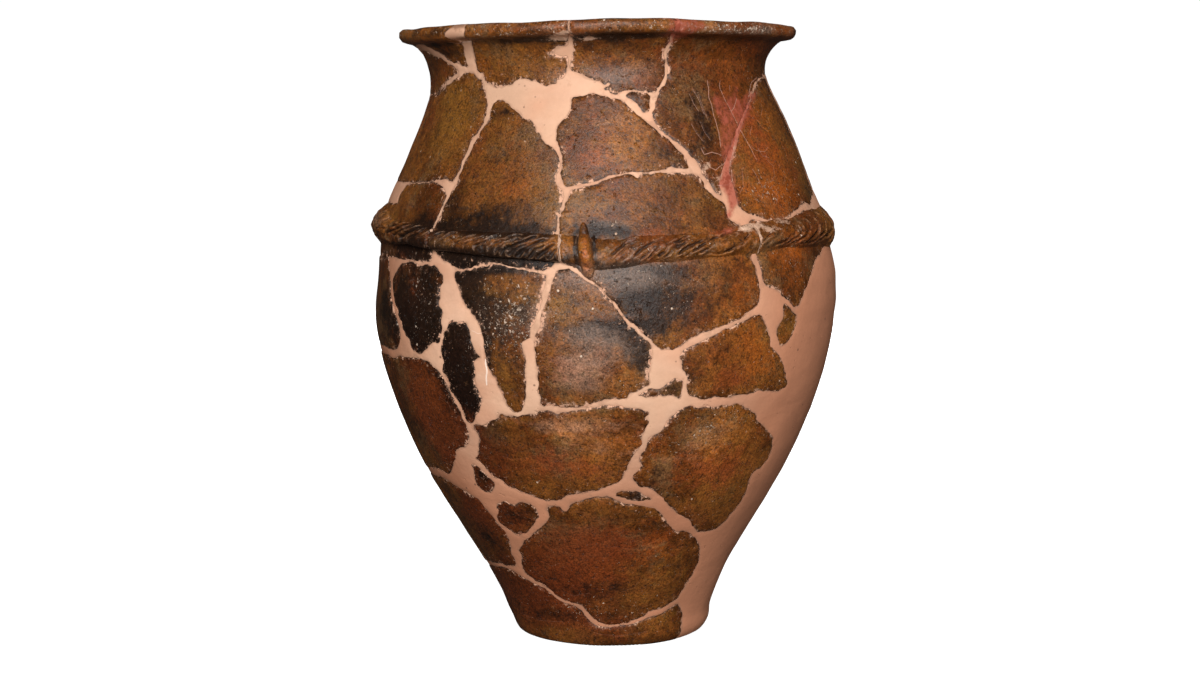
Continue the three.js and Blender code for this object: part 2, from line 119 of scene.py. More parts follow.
def around(table, th):
    """a value given at a few angles, carried smoothly from one to the next"""
    t = np.array(table, float); d = (np.degrees(th) + 180) % 360 - 180
    i = np.clip(np.searchsorted(t[:, 0], d, side="left"), 1, len(t) - 1)
    return t[i - 1, 1] + (t[i, 1] - t[i - 1, 1]) * smooth(0, 1, (d - t[i - 1, 0]) / (t[i, 0] - t[i - 1, 0]))


def lift(th, z):
    wave = .16 * np.sin(7 * th + .8) + .13 * np.sin(13 * th + 2.1) + .09 * np.sin(23 * th + .4)      # the lip was drawn out by hand
    return smooth(205, 262, z) * around(MOUTH, th) + smooth(263, 267, z) * wave


def outer(th, s, h=0.0):
    """a point of the outside, in mm, raised by h along the wall's own normal"""
    r, z, c = (np.interp(s, _ss, a) for a in (_or, _oz, _oc))
    r = r + h * np.interp(s, _ss, _nr); zz = z + h * np.interp(s, _ss, _nz)
    return np.stack([c - FRAME_X + r * np.sin(th), FRAME_Y - r * np.cos(th), zz + lift(th, z)], -1)


def inner(th, s, h=0.0):
    r, z, c = (np.interp(s, _ss, a) for a in (_ir, _iz, _ic))
    r = r + h * np.interp(s, _ss, _mr); zz = z + h * np.interp(s, _ss, _mz)
    return np.stack([c - FRAME_X + r * np.sin(th), FRAME_Y - r * np.cos(th), zz + lift(th, z)], -1)


def radius(s):
    return np.interp(s, _ss, _or)


# ---- noise that needs no random numbers -----------------------------------
def _hash(a, b, c, seed):
    n = (a * 73856093) ^ (b * 19349663) ^ (c * 83492791) ^ (seed * 374761393)
    n = n & 0xFFFFFFFF
    n = ((n ^ (n >> 15)) * 2246822519) & 0xFFFFFFFF
    n = ((n ^ (n >> 13)) * 3266489917) & 0xFFFFFFFF
    n = n ^ (n >> 16)
    return n / 4294967295.0 * 2 - 1


def vnoise(p, size, seed=0):
    """smooth noise from -1 to 1 with features of that size in mm"""
    q = np.asarray(p, float) / size + 1000.5
    i = np.floor(q).astype(np.int64); f = q - i
    f = f * f * f * (f * (f * 6 - 15) + 10)
    v = 0
    for dx in (0, 1):
        wx = f[..., 0] if dx else 1 - f[..., 0]
        for dy in (0, 1):
            wy = f[..., 1] if dy else 1 - f[..., 1]
            for dz in (0, 1):
                wz = f[..., 2] if dz else 1 - f[..., 2]
                v = v + wx * wy * wz * _hash(i[..., 0] + dx, i[..., 1] + dy, i[..., 2] + dz, seed)
    return v


def fbm(p, size, octaves=3, seed=0, gain=.5):
    v, a, t = 0, 1.0, 0
    for k in range(octaves):
        v = v + a * vnoise(p, size / 2**k, seed + 17 * k); t += a; a *= gain
    return v / t


# ---- what the wall looks like: outlines, tones, marks ----------------------
SHERDS = {
    "neck_sherd_left": [(-84, 258.2), (-78, 259.6), (-73.5, 259.6), (-66.8, 258), (-60.9, 256), (-56.6, 254.2), (-53.5, 252.8), (-52.6, 251.3), (-52.4, 250.2), (-55.4, 248.8), (-59, 247.8), (-61.4, 246.5), (-61.4, 243.9), (-64.4, 242.3), (-67.1, 241.1), (-71.7, 241), (-80, 241), (-98, 240), (-108, 246), (-106, 254), (-95, 257.4)],
    "rim_sherd_far_left": [(-46.4, 266.4), (-46.9, 265), (-46.2, 263.8), (-44.6, 263.2), (-44.3, 262.2), (-45.3, 260.3), (-46.1, 258.8), (-46.7, 257.2), (-46.7, 255.5), (-46.8, 253.9), (-46.3, 252.2), (-47.4, 251.8), (-49.2, 252.7), (-50.9, 254), (-54.4, 254.8), (-56.8, 256.2), (-59.6, 258.4), (-63.9, 260.8), (-70, 262.6), (-78, 262.4), (-88, 261.4), (-104, 260), (-120, 258), (-127, 262), (-122, 276), (-43, 276), (-43.2, 268.2)],
    "rim_sherd_left": [(-8.1, 262.8), (-8.4, 261.5), (-8.7, 259.9), (-9.8, 259.2), (-11.6, 259.3), (-13, 258.2), (-12.8, 257), (-14.7, 256.7), (-14.8, 255.9), (-12.6, 255.7), (-10.7, 254.8), (-9.2, 255.2), (-8.9, 253.6), (-9.2, 251.2), (-10, 249.2), (-10.8, 247.6), (-11.3, 246), (-12.9, 246), (-13.7, 245.2), (-13.5, 244), (-15.1, 244.1), (-16.1, 243.3), (-17.1, 242.9), (-18.7, 244.3), (-20.3, 245.2), (-22.2, 246.1), (-26, 246.6), (-27.5, 246.2), (-29.1, 244.6), (-30.7, 243.8), (-32.6, 243), (-34.2, 243), (-35.8, 243.4), (-36.5, 244.7), (-39, 245.2), (-39.7, 246.9), (-40.4, 248.7), (-42.1, 249.6), (-42.7, 251.3), (-42.6, 253.4), (-42.2, 255.9), (-42, 257.9), (-41.3, 259.9), (-39.7, 262.2), (-41.2, 262.8), (-39.4, 263.9), (-38.9, 268), (-38.7, 276), (-7.8, 276), (-7.8, 268), (-7.7, 264.2)],
    "rim_sherd_front": [(-7.3, 262.8), (-7, 261.4), (-6.9, 259.1), (-7.1, 257.5), (-7.8, 255.1), (-8.3, 252.3), (-8.3, 249.8), (-6.8, 249.1), (-4.8, 247.4), (-3.4, 246.2), (-1.3, 245.4), (0.5, 244.5), (1.6, 243.6), (2.9, 244.4), (3.5, 244), (2.4, 242.8), (1, 242), (1.5, 240.8), (2.5, 241.2), (2.9, 239.6), (5, 239.1), (5.4, 240.3), (7.3, 240.2), (8.9, 240.6), (10.8, 240.9), (13, 240.4), (14.3, 239.2), (15.8, 240), (17.1, 240.4), (18.5, 242.4), (19.8, 244.4), (20.9, 246.4), (21.6, 248.8), (22.1, 251.2), (22.2, 253.5), (21.9, 255.5), (21.8, 257.5), (22.1, 259.3), (22.3, 260.6), (20.9, 264.2), (21.5, 268), (21.7, 276), (-7.2, 276), (-7.3, 268), (-7.2, 264.2)],
    "rim_sherd_right": [(65.2, 246.3), (60.3, 242.8), (55.9, 239.4), (51.9, 235.6), (48.7, 232.3), (45.2, 228.6), (42.5, 225.8), (40.1, 221.7), (37.4, 216.9), (35.6, 212.9), (33.1, 208.1), (31.5, 203.7), (31.7, 198.9), (30, 200.6), (28.8, 203), (28, 205), (27, 207.3), (26.5, 209.7), (26.2, 211.7), (25.3, 213.7), (24.3, 214.9), (23.3, 216.9), (22.2, 218.3), (21.3, 220.3), (19.6, 221.1), (18.2, 222.7), (17, 224.6), (15.6, 226.2), (15, 229), (14.5, 231.7), (15.4, 234.1), (16.8, 236.9), (17.8, 239.2), (19.2, 241.5), (20.8, 244), (21.9, 246.5), (22.7, 248.9), (22.8, 251.2), (22.8, 253.6), (22.9, 255.5), (22.9, 257.8), (23.4, 259.6), (23.6, 260.7), (22.2, 264.2), (22.4, 268), (22.6, 276), (104, 276), (106, 266), (101, 258), (97, 251), (90, 249), (83, 248.5)],
    "shoulder_sherd_right": [(75.6, 196), (72.2, 193.6), (68.9, 192.2), (65.5, 193.7), (62.1, 192.7), (59, 191.2), (55.8, 190.2), (54.3, 188.7), (52.2, 188), (49.2, 188.2), (46.7, 188), (44.4, 188.1), (42.5, 189.1), (40.9, 190), (39.3, 190.9), (38.2, 192.1), (37.1, 193.4), (36, 194.7), (36.2, 197.5), (35.9, 200.7), (35.4, 204), (35.1, 206.4), (36.5, 210.4), (38.6, 215.3), (40.9, 220.1), (43.5, 224.9), (47.6, 229.8), (51, 234), (55.1, 238.2), (60.7, 242.4), (65.9, 245.9), (70.6, 247), (80.5, 246), (82.6, 240), (83.4, 226), (83.4, 212), (83.2, 202), (81.6, 197.5)],
    "neck_chip": [(7.1, 238.6), (8.8, 239.8), (10.7, 240.1), (12.6, 240.1), (14.3, 239.2), (15, 237.7), (14.4, 235.7), (14.1, 233.7), (13.3, 232.5), (11.4, 231.8), (11, 233.7), (10.6, 234.9), (9.3, 236.6)],
    "shoulder_sherd_left": [(-57.8, 245.8), (-53.9, 247.6), (-51, 248.5), (-49.2, 249.3), (-45.9, 249.8), (-44.1, 248.4), (-41.5, 247), (-40.7, 244.9), (-41.3, 242.8), (-39.9, 241.9), (-39.4, 239.7), (-38.8, 238), (-37.7, 236.3), (-37.9, 234.6), (-37.9, 232.5), (-38.3, 230.4), (-38.6, 228.3), (-39.3, 226.2), (-39.9, 223.7), (-41, 222), (-41.4, 219.1), (-41.7, 217), (-41.9, 214.9), (-42.3, 212), (-42.5, 209.5), (-42.9, 207), (-43.5, 204.9), (-44.3, 203.7), (-46.7, 204.8), (-49.1, 204.3), (-51.8, 204.1), (-53.3, 203.2), (-59.8, 202.9), (-65.2, 202.6), (-88, 202), (-95, 204), (-101, 210), (-99, 220), (-101, 230), (-96, 238), (-86, 238.5), (-72.5, 241.7), (-65.3, 243.1), (-63.3, 244.8)],
    "cordon_sherd_left": [(-68, 200.8), (-63.5, 202.3), (-58.4, 202.6), (-54.1, 202.8), (-51.4, 203.3), (-49.3, 202.6), (-47.6, 201.5), (-45.9, 199.9), (-44.6, 198.3), (-44.7, 196.3), (-45, 194.2), (-45.3, 192.2), (-45.6, 189.7), (-45.8, 187.2), (-45.8, 184.8), (-45.8, 182.7), (-45.8, 179.8), (-45.8, 175.7), (-46, 171.2), (-48.7, 170.5), (-52.5, 171), (-57.2, 170.9), (-61.7, 170.4), (-65.8, 170.7), (-78.5, 168.5), (-84, 169), (-92, 171), (-100, 170), (-106, 176), (-103, 184), (-105, 192), (-98, 196), (-92, 193), (-68.9, 192.6), (-70.1, 196.8)],
    "shoulder_sherd_centre_left": [(-35.4, 236.7), (-34.4, 237.5), (-32.9, 237.9), (-31.7, 237.1), (-30.1, 236.2), (-28.9, 234.6), (-27.4, 233.7), (-25.9, 232.1), (-24.8, 230.8), (-22.7, 229.5), (-21.3, 228.3), (-20.2, 226.6), (-19.7, 224.6), (-18.4, 223.8), (-17.6, 221.7), (-16.6, 220.5), (-15.6, 219.3), (-14.4, 218.1), (-13.2, 217.3), (-12.5, 214.9), (-12.1, 212.5), (-12.2, 210.1), (-12.3, 207.7), (-12.6, 205.7), (-12.4, 204.3), (-11.5, 203.1), (-10.6, 201.6), (-9.9, 197.9), (-10.3, 195.9), (-10.1, 193.5), (-10.7, 191.5), (-11.1, 189.6), (-10.8, 187.2), (-11, 184.8), (-11.3, 182.5), (-11.7, 180.5), (-11.1, 177.7), (-11.1, 174.8), (-11.7, 173.3), (-12.6, 171.5), (-14.2, 169.9), (-15.8, 169.2), (-17.1, 169.2), (-18.4, 169.6), (-19.9, 170.5), (-21.3, 170.8), (-22.8, 170.8), (-23.9, 171.3), (-24.9, 171.8), (-25.9, 172), (-27.7, 171.8), (-29.5, 171.1), (-31.4, 170.1), (-33.4, 169.5), (-35.4, 168.9), (-36.9, 168.8), (-38.9, 169.9), (-40.3, 171.1), (-41.8, 172.2), (-43.3, 173), (-44.5, 174.4), (-45.2, 176.6), (-45.5, 179.9), (-45.2, 183.2), (-45.2, 185.6), (-44.9, 188.5), (-44.8, 191.4), (-44.2, 193.9), (-43.6, 196.3), (-43.2, 198.8), (-42.8, 201.3), (-42.2, 203.3), (-42.1, 205.4), (-41.7, 208.3), (-41.4, 211.2), (-40.8, 213.7), (-40.3, 216.2), (-39.9, 219.1), (-39.5, 220.8), (-39, 223.3), (-38.4, 225.8), (-37.4, 227.9), (-36.3, 230), (-36.3, 232.5), (-35.9, 234.6)],
    "shoulder_sherd_centre": [(-8.9, 237.8), (-7.3, 238.6), (-5.7, 239.4), (-4.1, 240.2), (-2.8, 240.5), (-1.4, 239.7), (-0.2, 238.9), (1.3, 238.8), (2.4, 238), (3.2, 237.1), (4.8, 237.1), (5.9, 236.7), (7, 235.4), (8, 233.8), (9.1, 232.6), (10.1, 231), (11.5, 229.8), (12.8, 227.8), (14.2, 226.6), (15.2, 225), (15.9, 223.5), (17.6, 222.3), (18.6, 220.7), (20.2, 218.3), (21.4, 216.3), (22.4, 214.3), (23.3, 211.9), (23.5, 210.3), (22.2, 209.6), (20.5, 210), (18.8, 210), (18.1, 210.8), (16.3, 209.7), (14.9, 209.3), (13.5, 208.9), (11.6, 208.5), (9.5, 208.6), (7.4, 208.6), (5.5, 208.2), (3.4, 207.8), (1.6, 207.4), (0.1, 206.2), (-1.4, 205.4), (-3.5, 204.6), (-5, 203.8), (-7, 203.4), (-8.5, 202.9), (-9.7, 202.9), (-10.3, 204.5), (-11.2, 206.6), (-11.5, 208.1), (-11.2, 210.9), (-11.3, 213.3), (-11.7, 215.7), (-12.1, 218.1), (-12.9, 220.5), (-13.3, 222.9), (-13.5, 225.3), (-13.3, 227.7), (-12.8, 229.4), (-11.6, 230.5), (-10.5, 231.7), (-9.9, 233.3), (-9.5, 235.8)],
    "belly_sherd_front": [(-8.6, 200.4), (-7.9, 201.4), (-6.4, 201.8), (-4.9, 202.6), (-3.4, 203.4), (-1.9, 204.2), (-0.4, 205), (1.1, 205.8), (2.9, 206.6), (4.7, 207.4), (6.8, 207.8), (7.9, 207), (8.6, 206.2), (9.5, 207.8), (11.6, 207.7), (13.7, 208.1), (15.9, 208.5), (17.6, 208.1), (19.5, 208.4), (21.5, 208.4), (23.2, 207.6), (24.9, 207.5), (26, 206.3), (26.7, 204.3), (26.7, 201.9), (28, 200.6), (29, 199), (30.3, 197.7), (31.9, 196.5), (32.5, 194.4), (32.2, 192), (32.1, 189.6), (32.8, 188), (34.4, 186.7), (36.1, 185.8), (37.5, 184.5), (37.7, 182.1), (38, 180), (38.5, 178), (37.5, 176.4), (36.7, 174), (36.9, 171.6), (37.4, 169.1), (37.4, 166.7), (37.4, 164.2), (37.5, 161.8), (37.8, 159.3), (37.5, 156.9), (36.9, 154.5), (36, 152.9), (34.5, 151.9), (33.4, 150.7), (32.4, 149.2), (30.8, 148.1), (29.2, 147.1), (27.4, 146.4), (25.6, 145.7), (24.2, 144.6), (22.9, 144.3), (21.7, 143.6), (20.8, 142.4), (19.4, 141.3), (18, 139.3), (16.8, 138.2), (15.6, 137.9), (14.2, 137.5), (12.8, 137.7), (12, 138.4), (11.1, 139.9), (10.2, 141.4), (8.9, 143.5), (7.7, 145.4), (6.5, 147.2), (5.4, 148.8), (4.4, 150.5), (3.8, 152.3), (3, 153.8), (2.1, 155.5), (1, 157.1), (0.2, 158.6), (-0.7, 160.3), (-1.7, 162), (-2.6, 163.8), (-3.3, 165.2), (-4.2, 165.9), (-5.1, 167.2), (-6, 169.1), (-6.7, 170.5), (-8, 171.4), (-9.3, 172.2), (-10.1, 174.3), (-10.6, 177.7), (-10.3, 179.7), (-10.5, 181.7), (-10.3, 183.7), (-10.2, 185.2), (-10.2, 186.4), (-10.5, 188.8), (-10.7, 190), (-10.1, 191.9), (-9.4, 193.9), (-9.5, 196), (-9, 197.2)],
    "belly_sherd_centre_left": [(-38, 167), (-37.3, 167.8), (-35.5, 168), (-34.1, 168.3), (-32.4, 168.8), (-30.5, 169.6), (-28.6, 170.7), (-26.8, 171.4), (-25, 171.6), (-24, 171), (-22.9, 170.3), (-21.7, 170.3), (-20.3, 170.1), (-19.1, 169.4), (-17.5, 168.7), (-15.8, 168.4), (-14, 168.3), (-14.1, 166.6), (-14.4, 164.2), (-14.7, 161.7), (-15.1, 159.3), (-15.3, 156.9), (-15.7, 154.5), (-16, 152.1), (-16.4, 149.6), (-16.8, 147.6), (-17.4, 145.9), (-17.4, 143.9), (-17.4, 142.3), (-18.8, 141.3), (-19.5, 140.5), (-19.6, 138), (-19.2, 135.6), (-18.8, 133.1), (-18.9, 130.6), (-19.2, 128.5), (-19.1, 126.4), (-19, 123.9), (-19.3, 121.7), (-19.7, 119.2), (-19.7, 116.2), (-20.2, 113.1), (-21.2, 110.8), (-22.3, 110.3), (-23.4, 110.6), (-24.3, 112.3), (-24.8, 114.8), (-25.6, 117.7), (-26.4, 121.1), (-27, 124), (-27.8, 127.3), (-28.6, 130.5), (-29.2, 133.8), (-29.1, 136.3), (-29.3, 138.8), (-29.2, 141.3), (-29.7, 143.7), (-30.6, 146.5), (-31.6, 149.3), (-33.1, 151.6), (-34.1, 153.9), (-35.7, 156.2), (-36.4, 159), (-37.3, 161.4), (-38.3, 164.2)],
    "belly_sherd_centre": [(-11.5, 170), (-10, 170.6), (-8.7, 170.2), (-7.2, 169), (-6.3, 167.2), (-5.3, 166.2), (-4.1, 165), (-2.9, 163.5), (-2.2, 162.2), (-1.4, 161), (-0.5, 159.5), (0.5, 157.6), (1.4, 155), (2.6, 153), (3.6, 151.2), (4.2, 149.4), (5, 147.4), (6.2, 146), (7.4, 144.3), (8.4, 142.5), (9.4, 141), (10.3, 139.6), (10.6, 137.9), (10.7, 136.7), (10.8, 134.4), (10.3, 132.8), (10.4, 130.7), (10.2, 128.6), (10.3, 126.1), (10.3, 123.6), (9.2, 122.8), (8, 121.5), (6.9, 120.3), (5.9, 119.9), (5.5, 118.7), (5, 117.4), (3.4, 117), (1.5, 117), (-0.2, 117), (-1.8, 116.2), (-3.3, 115.3), (-4.5, 114), (-6.2, 113.5), (-9.6, 113.4), (-11.1, 113.3), (-12.5, 114.1), (-14, 114), (-15.5, 113.9), (-15.9, 115.6), (-16, 118.2), (-16.4, 120.7), (-16, 123.2), (-16.1, 125.8), (-16, 128.3), (-16.2, 130.8), (-16.3, 133.3), (-16.3, 135.8), (-16.5, 138.6), (-16.4, 141.5), (-16.2, 143.5), (-15.5, 145.6), (-15.2, 147.7), (-15.2, 150.1), (-14.9, 152.9), (-14.5, 155.3), (-14.1, 157.8), (-13.5, 160.2), (-13.1, 162.2), (-12.6, 164.6), (-12.2, 167)],
    "belly_sherd_far_left": [(-68.5, 173.4), (-68, 168.3), (-67, 162.9), (-65.8, 158.8), (-65, 153.3), (-63.1, 150.2), (-61.6, 147), (-60.3, 143.8), (-58.9, 140.1), (-58.7, 137.2), (-59.7, 134.8), (-61.4, 131.9), (-65.1, 130.8), (-68.2, 131.1), (-83, 131), (-90, 130), (-97, 134), (-101, 142), (-98, 152), (-101, 160), (-95, 167.5), (-88, 167.8)],
    "belly_sherd_left": [(-64.7, 162.3), (-62.1, 164.8), (-60.9, 167.5), (-58.7, 169), (-56.1, 169.7), (-54.2, 170.4), (-52.4, 170.1), (-51.5, 169), (-49.5, 168.8), (-48.7, 169.7), (-46.4, 169.5), (-44.6, 168.9), (-43.5, 167.8), (-42.5, 166.2), (-42.2, 164.2), (-42.2, 162.1), (-42.8, 160.4), (-42.6, 157.5), (-42.9, 155.5), (-43, 152.6), (-41.5, 151.1), (-41.4, 149), (-41.7, 146.9), (-41.2, 144.1), (-41.6, 142.3), (-42.3, 141), (-42.4, 138.9), (-42.9, 137.1), (-44.2, 137.8), (-45.7, 137.2), (-46.9, 135.7), (-48.3, 133.3), (-49.8, 131.4), (-51.5, 131.5), (-53.4, 132.9), (-54.1, 135), (-54.2, 137.1), (-55.5, 138.6), (-56.7, 140.9), (-58.1, 143.7), (-59.3, 146.5), (-61.2, 149.2), (-62.7, 151.9), (-63.9, 155.2), (-64.4, 159)],
    "belly_sherd_mid_left": [(-37.9, 148.2), (-36.6, 147.1), (-35.1, 146.9), (-33.9, 145.8), (-33, 144.2), (-32.8, 141.8), (-32.6, 139.3), (-32.1, 136.8), (-31.6, 135.2), (-30.9, 133.6), (-30.4, 133.3), (-31.5, 132.3), (-32.2, 130.6), (-31.9, 128.1), (-32.4, 125.5), (-32.9, 123.3), (-32.6, 120.7), (-32.3, 118.6), (-32.3, 116.5), (-31.5, 115.7), (-31.4, 114), (-32.7, 111.7), (-33.3, 109.4), (-34.5, 108.4), (-35.3, 106.9), (-36.1, 104.6), (-37.3, 103.5), (-38.1, 104.7), (-38.7, 106.8), (-38.8, 109.4), (-39, 112), (-39.9, 114.5), (-40.8, 117), (-41.1, 119.1), (-41.7, 121.6), (-42.1, 123.7), (-42.8, 125.3), (-42.5, 127.9), (-41.8, 130.5), (-42.3, 132.6), (-42.4, 134.7), (-41.8, 137.3), (-41.3, 139.9), (-40.3, 142.5), (-39.6, 145.1), (-39.1, 147.2)],
    "lower_sherd_left": [(-73.1, 127.5), (-67.8, 127.6), (-64.8, 127.4), (-60.9, 129.4), (-58.2, 128.6), (-55.5, 129.1), (-52.6, 129.6), (-50.5, 129.6), (-48.6, 129), (-47.1, 128.4), (-46.2, 126.9), (-44.6, 125.8), (-43.6, 124.3), (-42.8, 122.2), (-42.1, 120.2), (-41.6, 117.3), (-40.7, 114.8), (-40.2, 112.3), (-40, 109.7), (-39.5, 107.1), (-39.1, 104.6), (-39, 102.4), (-38.8, 99.8), (-39.1, 97), (-40.1, 94.6), (-41.4, 92.6), (-43.6, 91.7), (-45.7, 90.4), (-47, 89.3), (-47.2, 87.4), (-49.3, 84.7), (-51.5, 82), (-53.5, 79.3), (-56.1, 76.9), (-58.3, 77.3), (-61.2, 78), (-78, 76), (-86, 74), (-93, 78), (-99, 86), (-97, 96), (-103, 106), (-99, 118), (-95, 124), (-87, 126)],
    "lower_sherd_far_left": [(-64.3, 74.5), (-60, 74.1), (-57.2, 73.4), (-55, 72), (-52, 71.3), (-49.2, 70.5), (-47.7, 68.4), (-45.5, 68), (-44.4, 66.3), (-44.5, 63.9), (-43.4, 62.2), (-42.3, 60.5), (-41.5, 58.3), (-40.6, 56), (-40, 53.2), (-39.7, 50.9), (-40.2, 47.9), (-41.3, 44.7), (-42.6, 41.6), (-42.2, 39.2), (-42.6, 36.7), (-48.8, 35.1), (-58.8, 34.6), (-83, 32), (-92, 31), (-100, 37), (-97, 46), (-103, 55), (-99, 65), (-91, 70.5), (-83, 71.5)],
    "lower_sherd_centre": [(-36.5, 102.3), (-34.6, 104), (-33.1, 103.3), (-31.6, 104.8), (-30.2, 105.9), (-28.2, 107.5), (-26.9, 108.9), (-25.8, 108.6), (-23.8, 108.8), (-22.2, 108.6), (-20.5, 109.6), (-18.9, 109.7), (-17.1, 109.9), (-16.2, 111.7), (-14.6, 111.8), (-13.2, 111.5), (-11.7, 110.7), (-10.2, 111.2), (-8.7, 111.7), (-7.2, 112.2), (-5.5, 112.7), (-4.3, 113.1), (-3.1, 114), (-1.4, 114.4), (0.1, 114.4), (1.5, 114.4), (2.9, 114.4), (4.4, 114), (6.1, 113.9), (7.8, 113.5), (8.5, 112.6), (9.8, 112.1), (10.5, 112), (10.6, 110.3), (9.4, 109.1), (10.5, 108.1), (10.8, 107.3), (10.3, 105.1), (9.9, 102.9), (9.5, 100.8), (9.1, 99), (9.1, 97.3), (8.4, 95.1), (7.4, 93.3), (6.7, 91.1), (6.2, 88.9), (6, 86.6), (5, 84.8), (4.5, 82.5), (4, 81.2), (2.6, 79.8), (0.6, 78.9), (-0.9, 77.5), (-2.4, 76.6), (-4.1, 76.1), (-6.2, 75.6), (-8.3, 75), (-10.8, 74.4), (-13.1, 72.9), (-14.7, 71.8), (-16.1, 71.3), (-18.1, 70.6), (-19.7, 70.9), (-21.5, 71.7), (-22.9, 72.9), (-24.8, 73.6), (-27.1, 74.3), (-29.2, 75.4), (-31.1, 76.5), (-32.3, 77.3), (-32.9, 79), (-34.2, 79.7), (-35.3, 80.9), (-36.3, 82.6), (-37.2, 84.7), (-38.1, 86.9), (-39.3, 88), (-38, 88.7), (-37, 91.1), (-36.7, 93.9), (-35.7, 96.7), (-35.5, 99.4), (-36.2, 100.6)],
    "belly_sherd_right": [(38.1, 187.7), (39.5, 188.4), (42.1, 187.5), (44.5, 186.9), (45.2, 184.8), (46.5, 182.2), (48.9, 180.8), (52.5, 181.3), (53.4, 184.2), (53.6, 186.6), (55.8, 188.5), (59.6, 189.9), (63.1, 190.5), (69.3, 190), (77.3, 188.5), (82.3, 184.9), (85, 181.1), (75.3, 176.5), (69.7, 173.3), (62.4, 169.9), (60.4, 167.6), (58.6, 165.2), (57, 162.5), (55.9, 159.7), (54.5, 157.3), (53.5, 155), (52.2, 153.5), (50.9, 152), (49.7, 151.3), (48.1, 153.2), (47, 155), (45.5, 156.4), (44, 158.6), (42.7, 160.4), (40.7, 160.6), (39.4, 162), (38.6, 164.1), (38.7, 167.4), (38.6, 170.7), (38.6, 173.9), (38.8, 176.3), (38.7, 178.8), (38.7, 183.6)],
    "belly_chip_right": [(45.8, 153.5), (47.3, 152.4), (48.9, 150.1), (50.8, 147.8), (51, 145.6), (51, 142.7), (50.4, 139.8), (48.9, 138.4), (47.5, 136.4), (46.2, 135), (45.3, 136.4), (44.7, 138.6), (43.8, 141.2), (44, 143.7), (44.9, 145.7), (45.7, 147.6), (45.2, 150.2), (45.1, 152.3)],
    "belly_sherd_lower_right": [(38.2, 149.4), (36.4, 150), (35.2, 149.3), (33.8, 148.6), (32.5, 147.6), (30.9, 146.5), (29.3, 145.4), (27.8, 144.7), (26.3, 143.6), (25.3, 142.5), (24.1, 141.8), (22.6, 140.7), (21.1, 139.5), (19.4, 138), (18, 136.5), (17.4, 134.9), (16.9, 134.1), (17.7, 132.8), (17.8, 130.7), (17.6, 129), (18.6, 127.7), (19.2, 125.5), (19.6, 123), (19.5, 120.4), (19.9, 118.3), (20.8, 117.4), (22.1, 117.2), (23.5, 116.2), (24.9, 116.1), (26.5, 116.3), (28.1, 116.6), (29.9, 115.9), (31.7, 116.1), (33.4, 116.3), (34.9, 117), (36.8, 116.7), (38.8, 116.4), (40.3, 117.5), (42.3, 117.6), (44.7, 116.8), (47.1, 116.3), (49, 116.9), (51, 117.4), (51.5, 119), (50, 121.5), (49, 124.2), (48.1, 127), (46.8, 129.7), (45.8, 132), (44.5, 133.9), (42.2, 136.4), (41.6, 139), (41.1, 141.6), (40.3, 144.2), (39.4, 146.8)],
    "lower_sherd_right": [(18.6, 112.4), (19.6, 113.2), (20.8, 113.9), (21.9, 113.4), (22.9, 112), (24, 111.9), (25.3, 112.6), (27, 112), (28.4, 112.2), (29.8, 112.5), (31.4, 111.8), (33.1, 112), (34.5, 113.1), (35.9, 112.5), (37.5, 111), (39, 109.8), (40.4, 108.3), (41.8, 106.8), (42.2, 104.9), (43.9, 102.9), (45.5, 101.2), (47.8, 99), (50.4, 96.7), (53.1, 94.8), (53.8, 92), (54.6, 89.1), (54.9, 86.3), (54.7, 83.6), (53.6, 82.4), (52.5, 80.4), (50.1, 80), (49, 77), (50.5, 73.9), (50.4, 71.1), (50.7, 68.8), (50.3, 66.5), (49.7, 63.8), (48.5, 61.2), (47.6, 58.1), (45.8, 55.5), (43.5, 54.1), (40.7, 53.6), (37.8, 53.6), (34.8, 54.1), (32, 57), (29.5, 59.8), (26.9, 62), (24.7, 63.7), (22.5, 65.9), (20.4, 68), (19, 70.1), (17.8, 72.1), (16.7, 73.6), (14.9, 75.6), (13.2, 77.1), (11.3, 78.1), (9.8, 78.7), (8.3, 80.6), (7.3, 82.5), (7.8, 84.3), (8.8, 86.1), (9.6, 87.4), (8.9, 89.7), (9.1, 91.9), (9.8, 94.1), (10.5, 95.9), (10.9, 98), (11.4, 99.8), (12.1, 100.6), (13.4, 101.9), (14.3, 103.1), (15, 104.8), (15.4, 107), (16, 108.7), (16.9, 110.3)],
    "belly_chip_centre": [(7.2, 118.6), (8.3, 120.3), (10.4, 121.9), (12.1, 120.9), (14, 123), (15.1, 124.6), (16.8, 125.3), (18.1, 123.9), (18.5, 121.8), (18.1, 119.3), (18, 116.7), (16.9, 118.1), (14.2, 118.3), (11.7, 118), (9.3, 118.1)],
    "lower_chip_left": [(-41.3, 85.4), (-39.9, 84.7), (-38.8, 83.1), (-37.8, 81.4), (-36.8, 79.8), (-35.8, 78.1), (-35, 76.8), (-36, 74.8), (-37.2, 72.3), (-39.8, 71.8), (-41.5, 72.9), (-42.6, 74.6), (-42.6, 76.9), (-42.4, 79.7), (-41.6, 83)],
    "lower_chip_front": [(-38.6, 65), (-35.9, 67.8), (-34.3, 69), (-32.7, 67.9), (-31.2, 67.6), (-29.7, 67.8), (-27.6, 69.1), (-25.9, 68.3), (-24.1, 68.6), (-23.1, 66.8), (-22.5, 64.5), (-23.4, 62), (-24.7, 59.4), (-26.8, 57.2), (-28.7, 55), (-30.8, 53.8), (-33.9, 52.3), (-35.9, 53), (-37, 54.7), (-38.3, 56), (-39.6, 57.2), (-40.2, 59), (-40.2, 60.9), (-38.6, 62.6)],
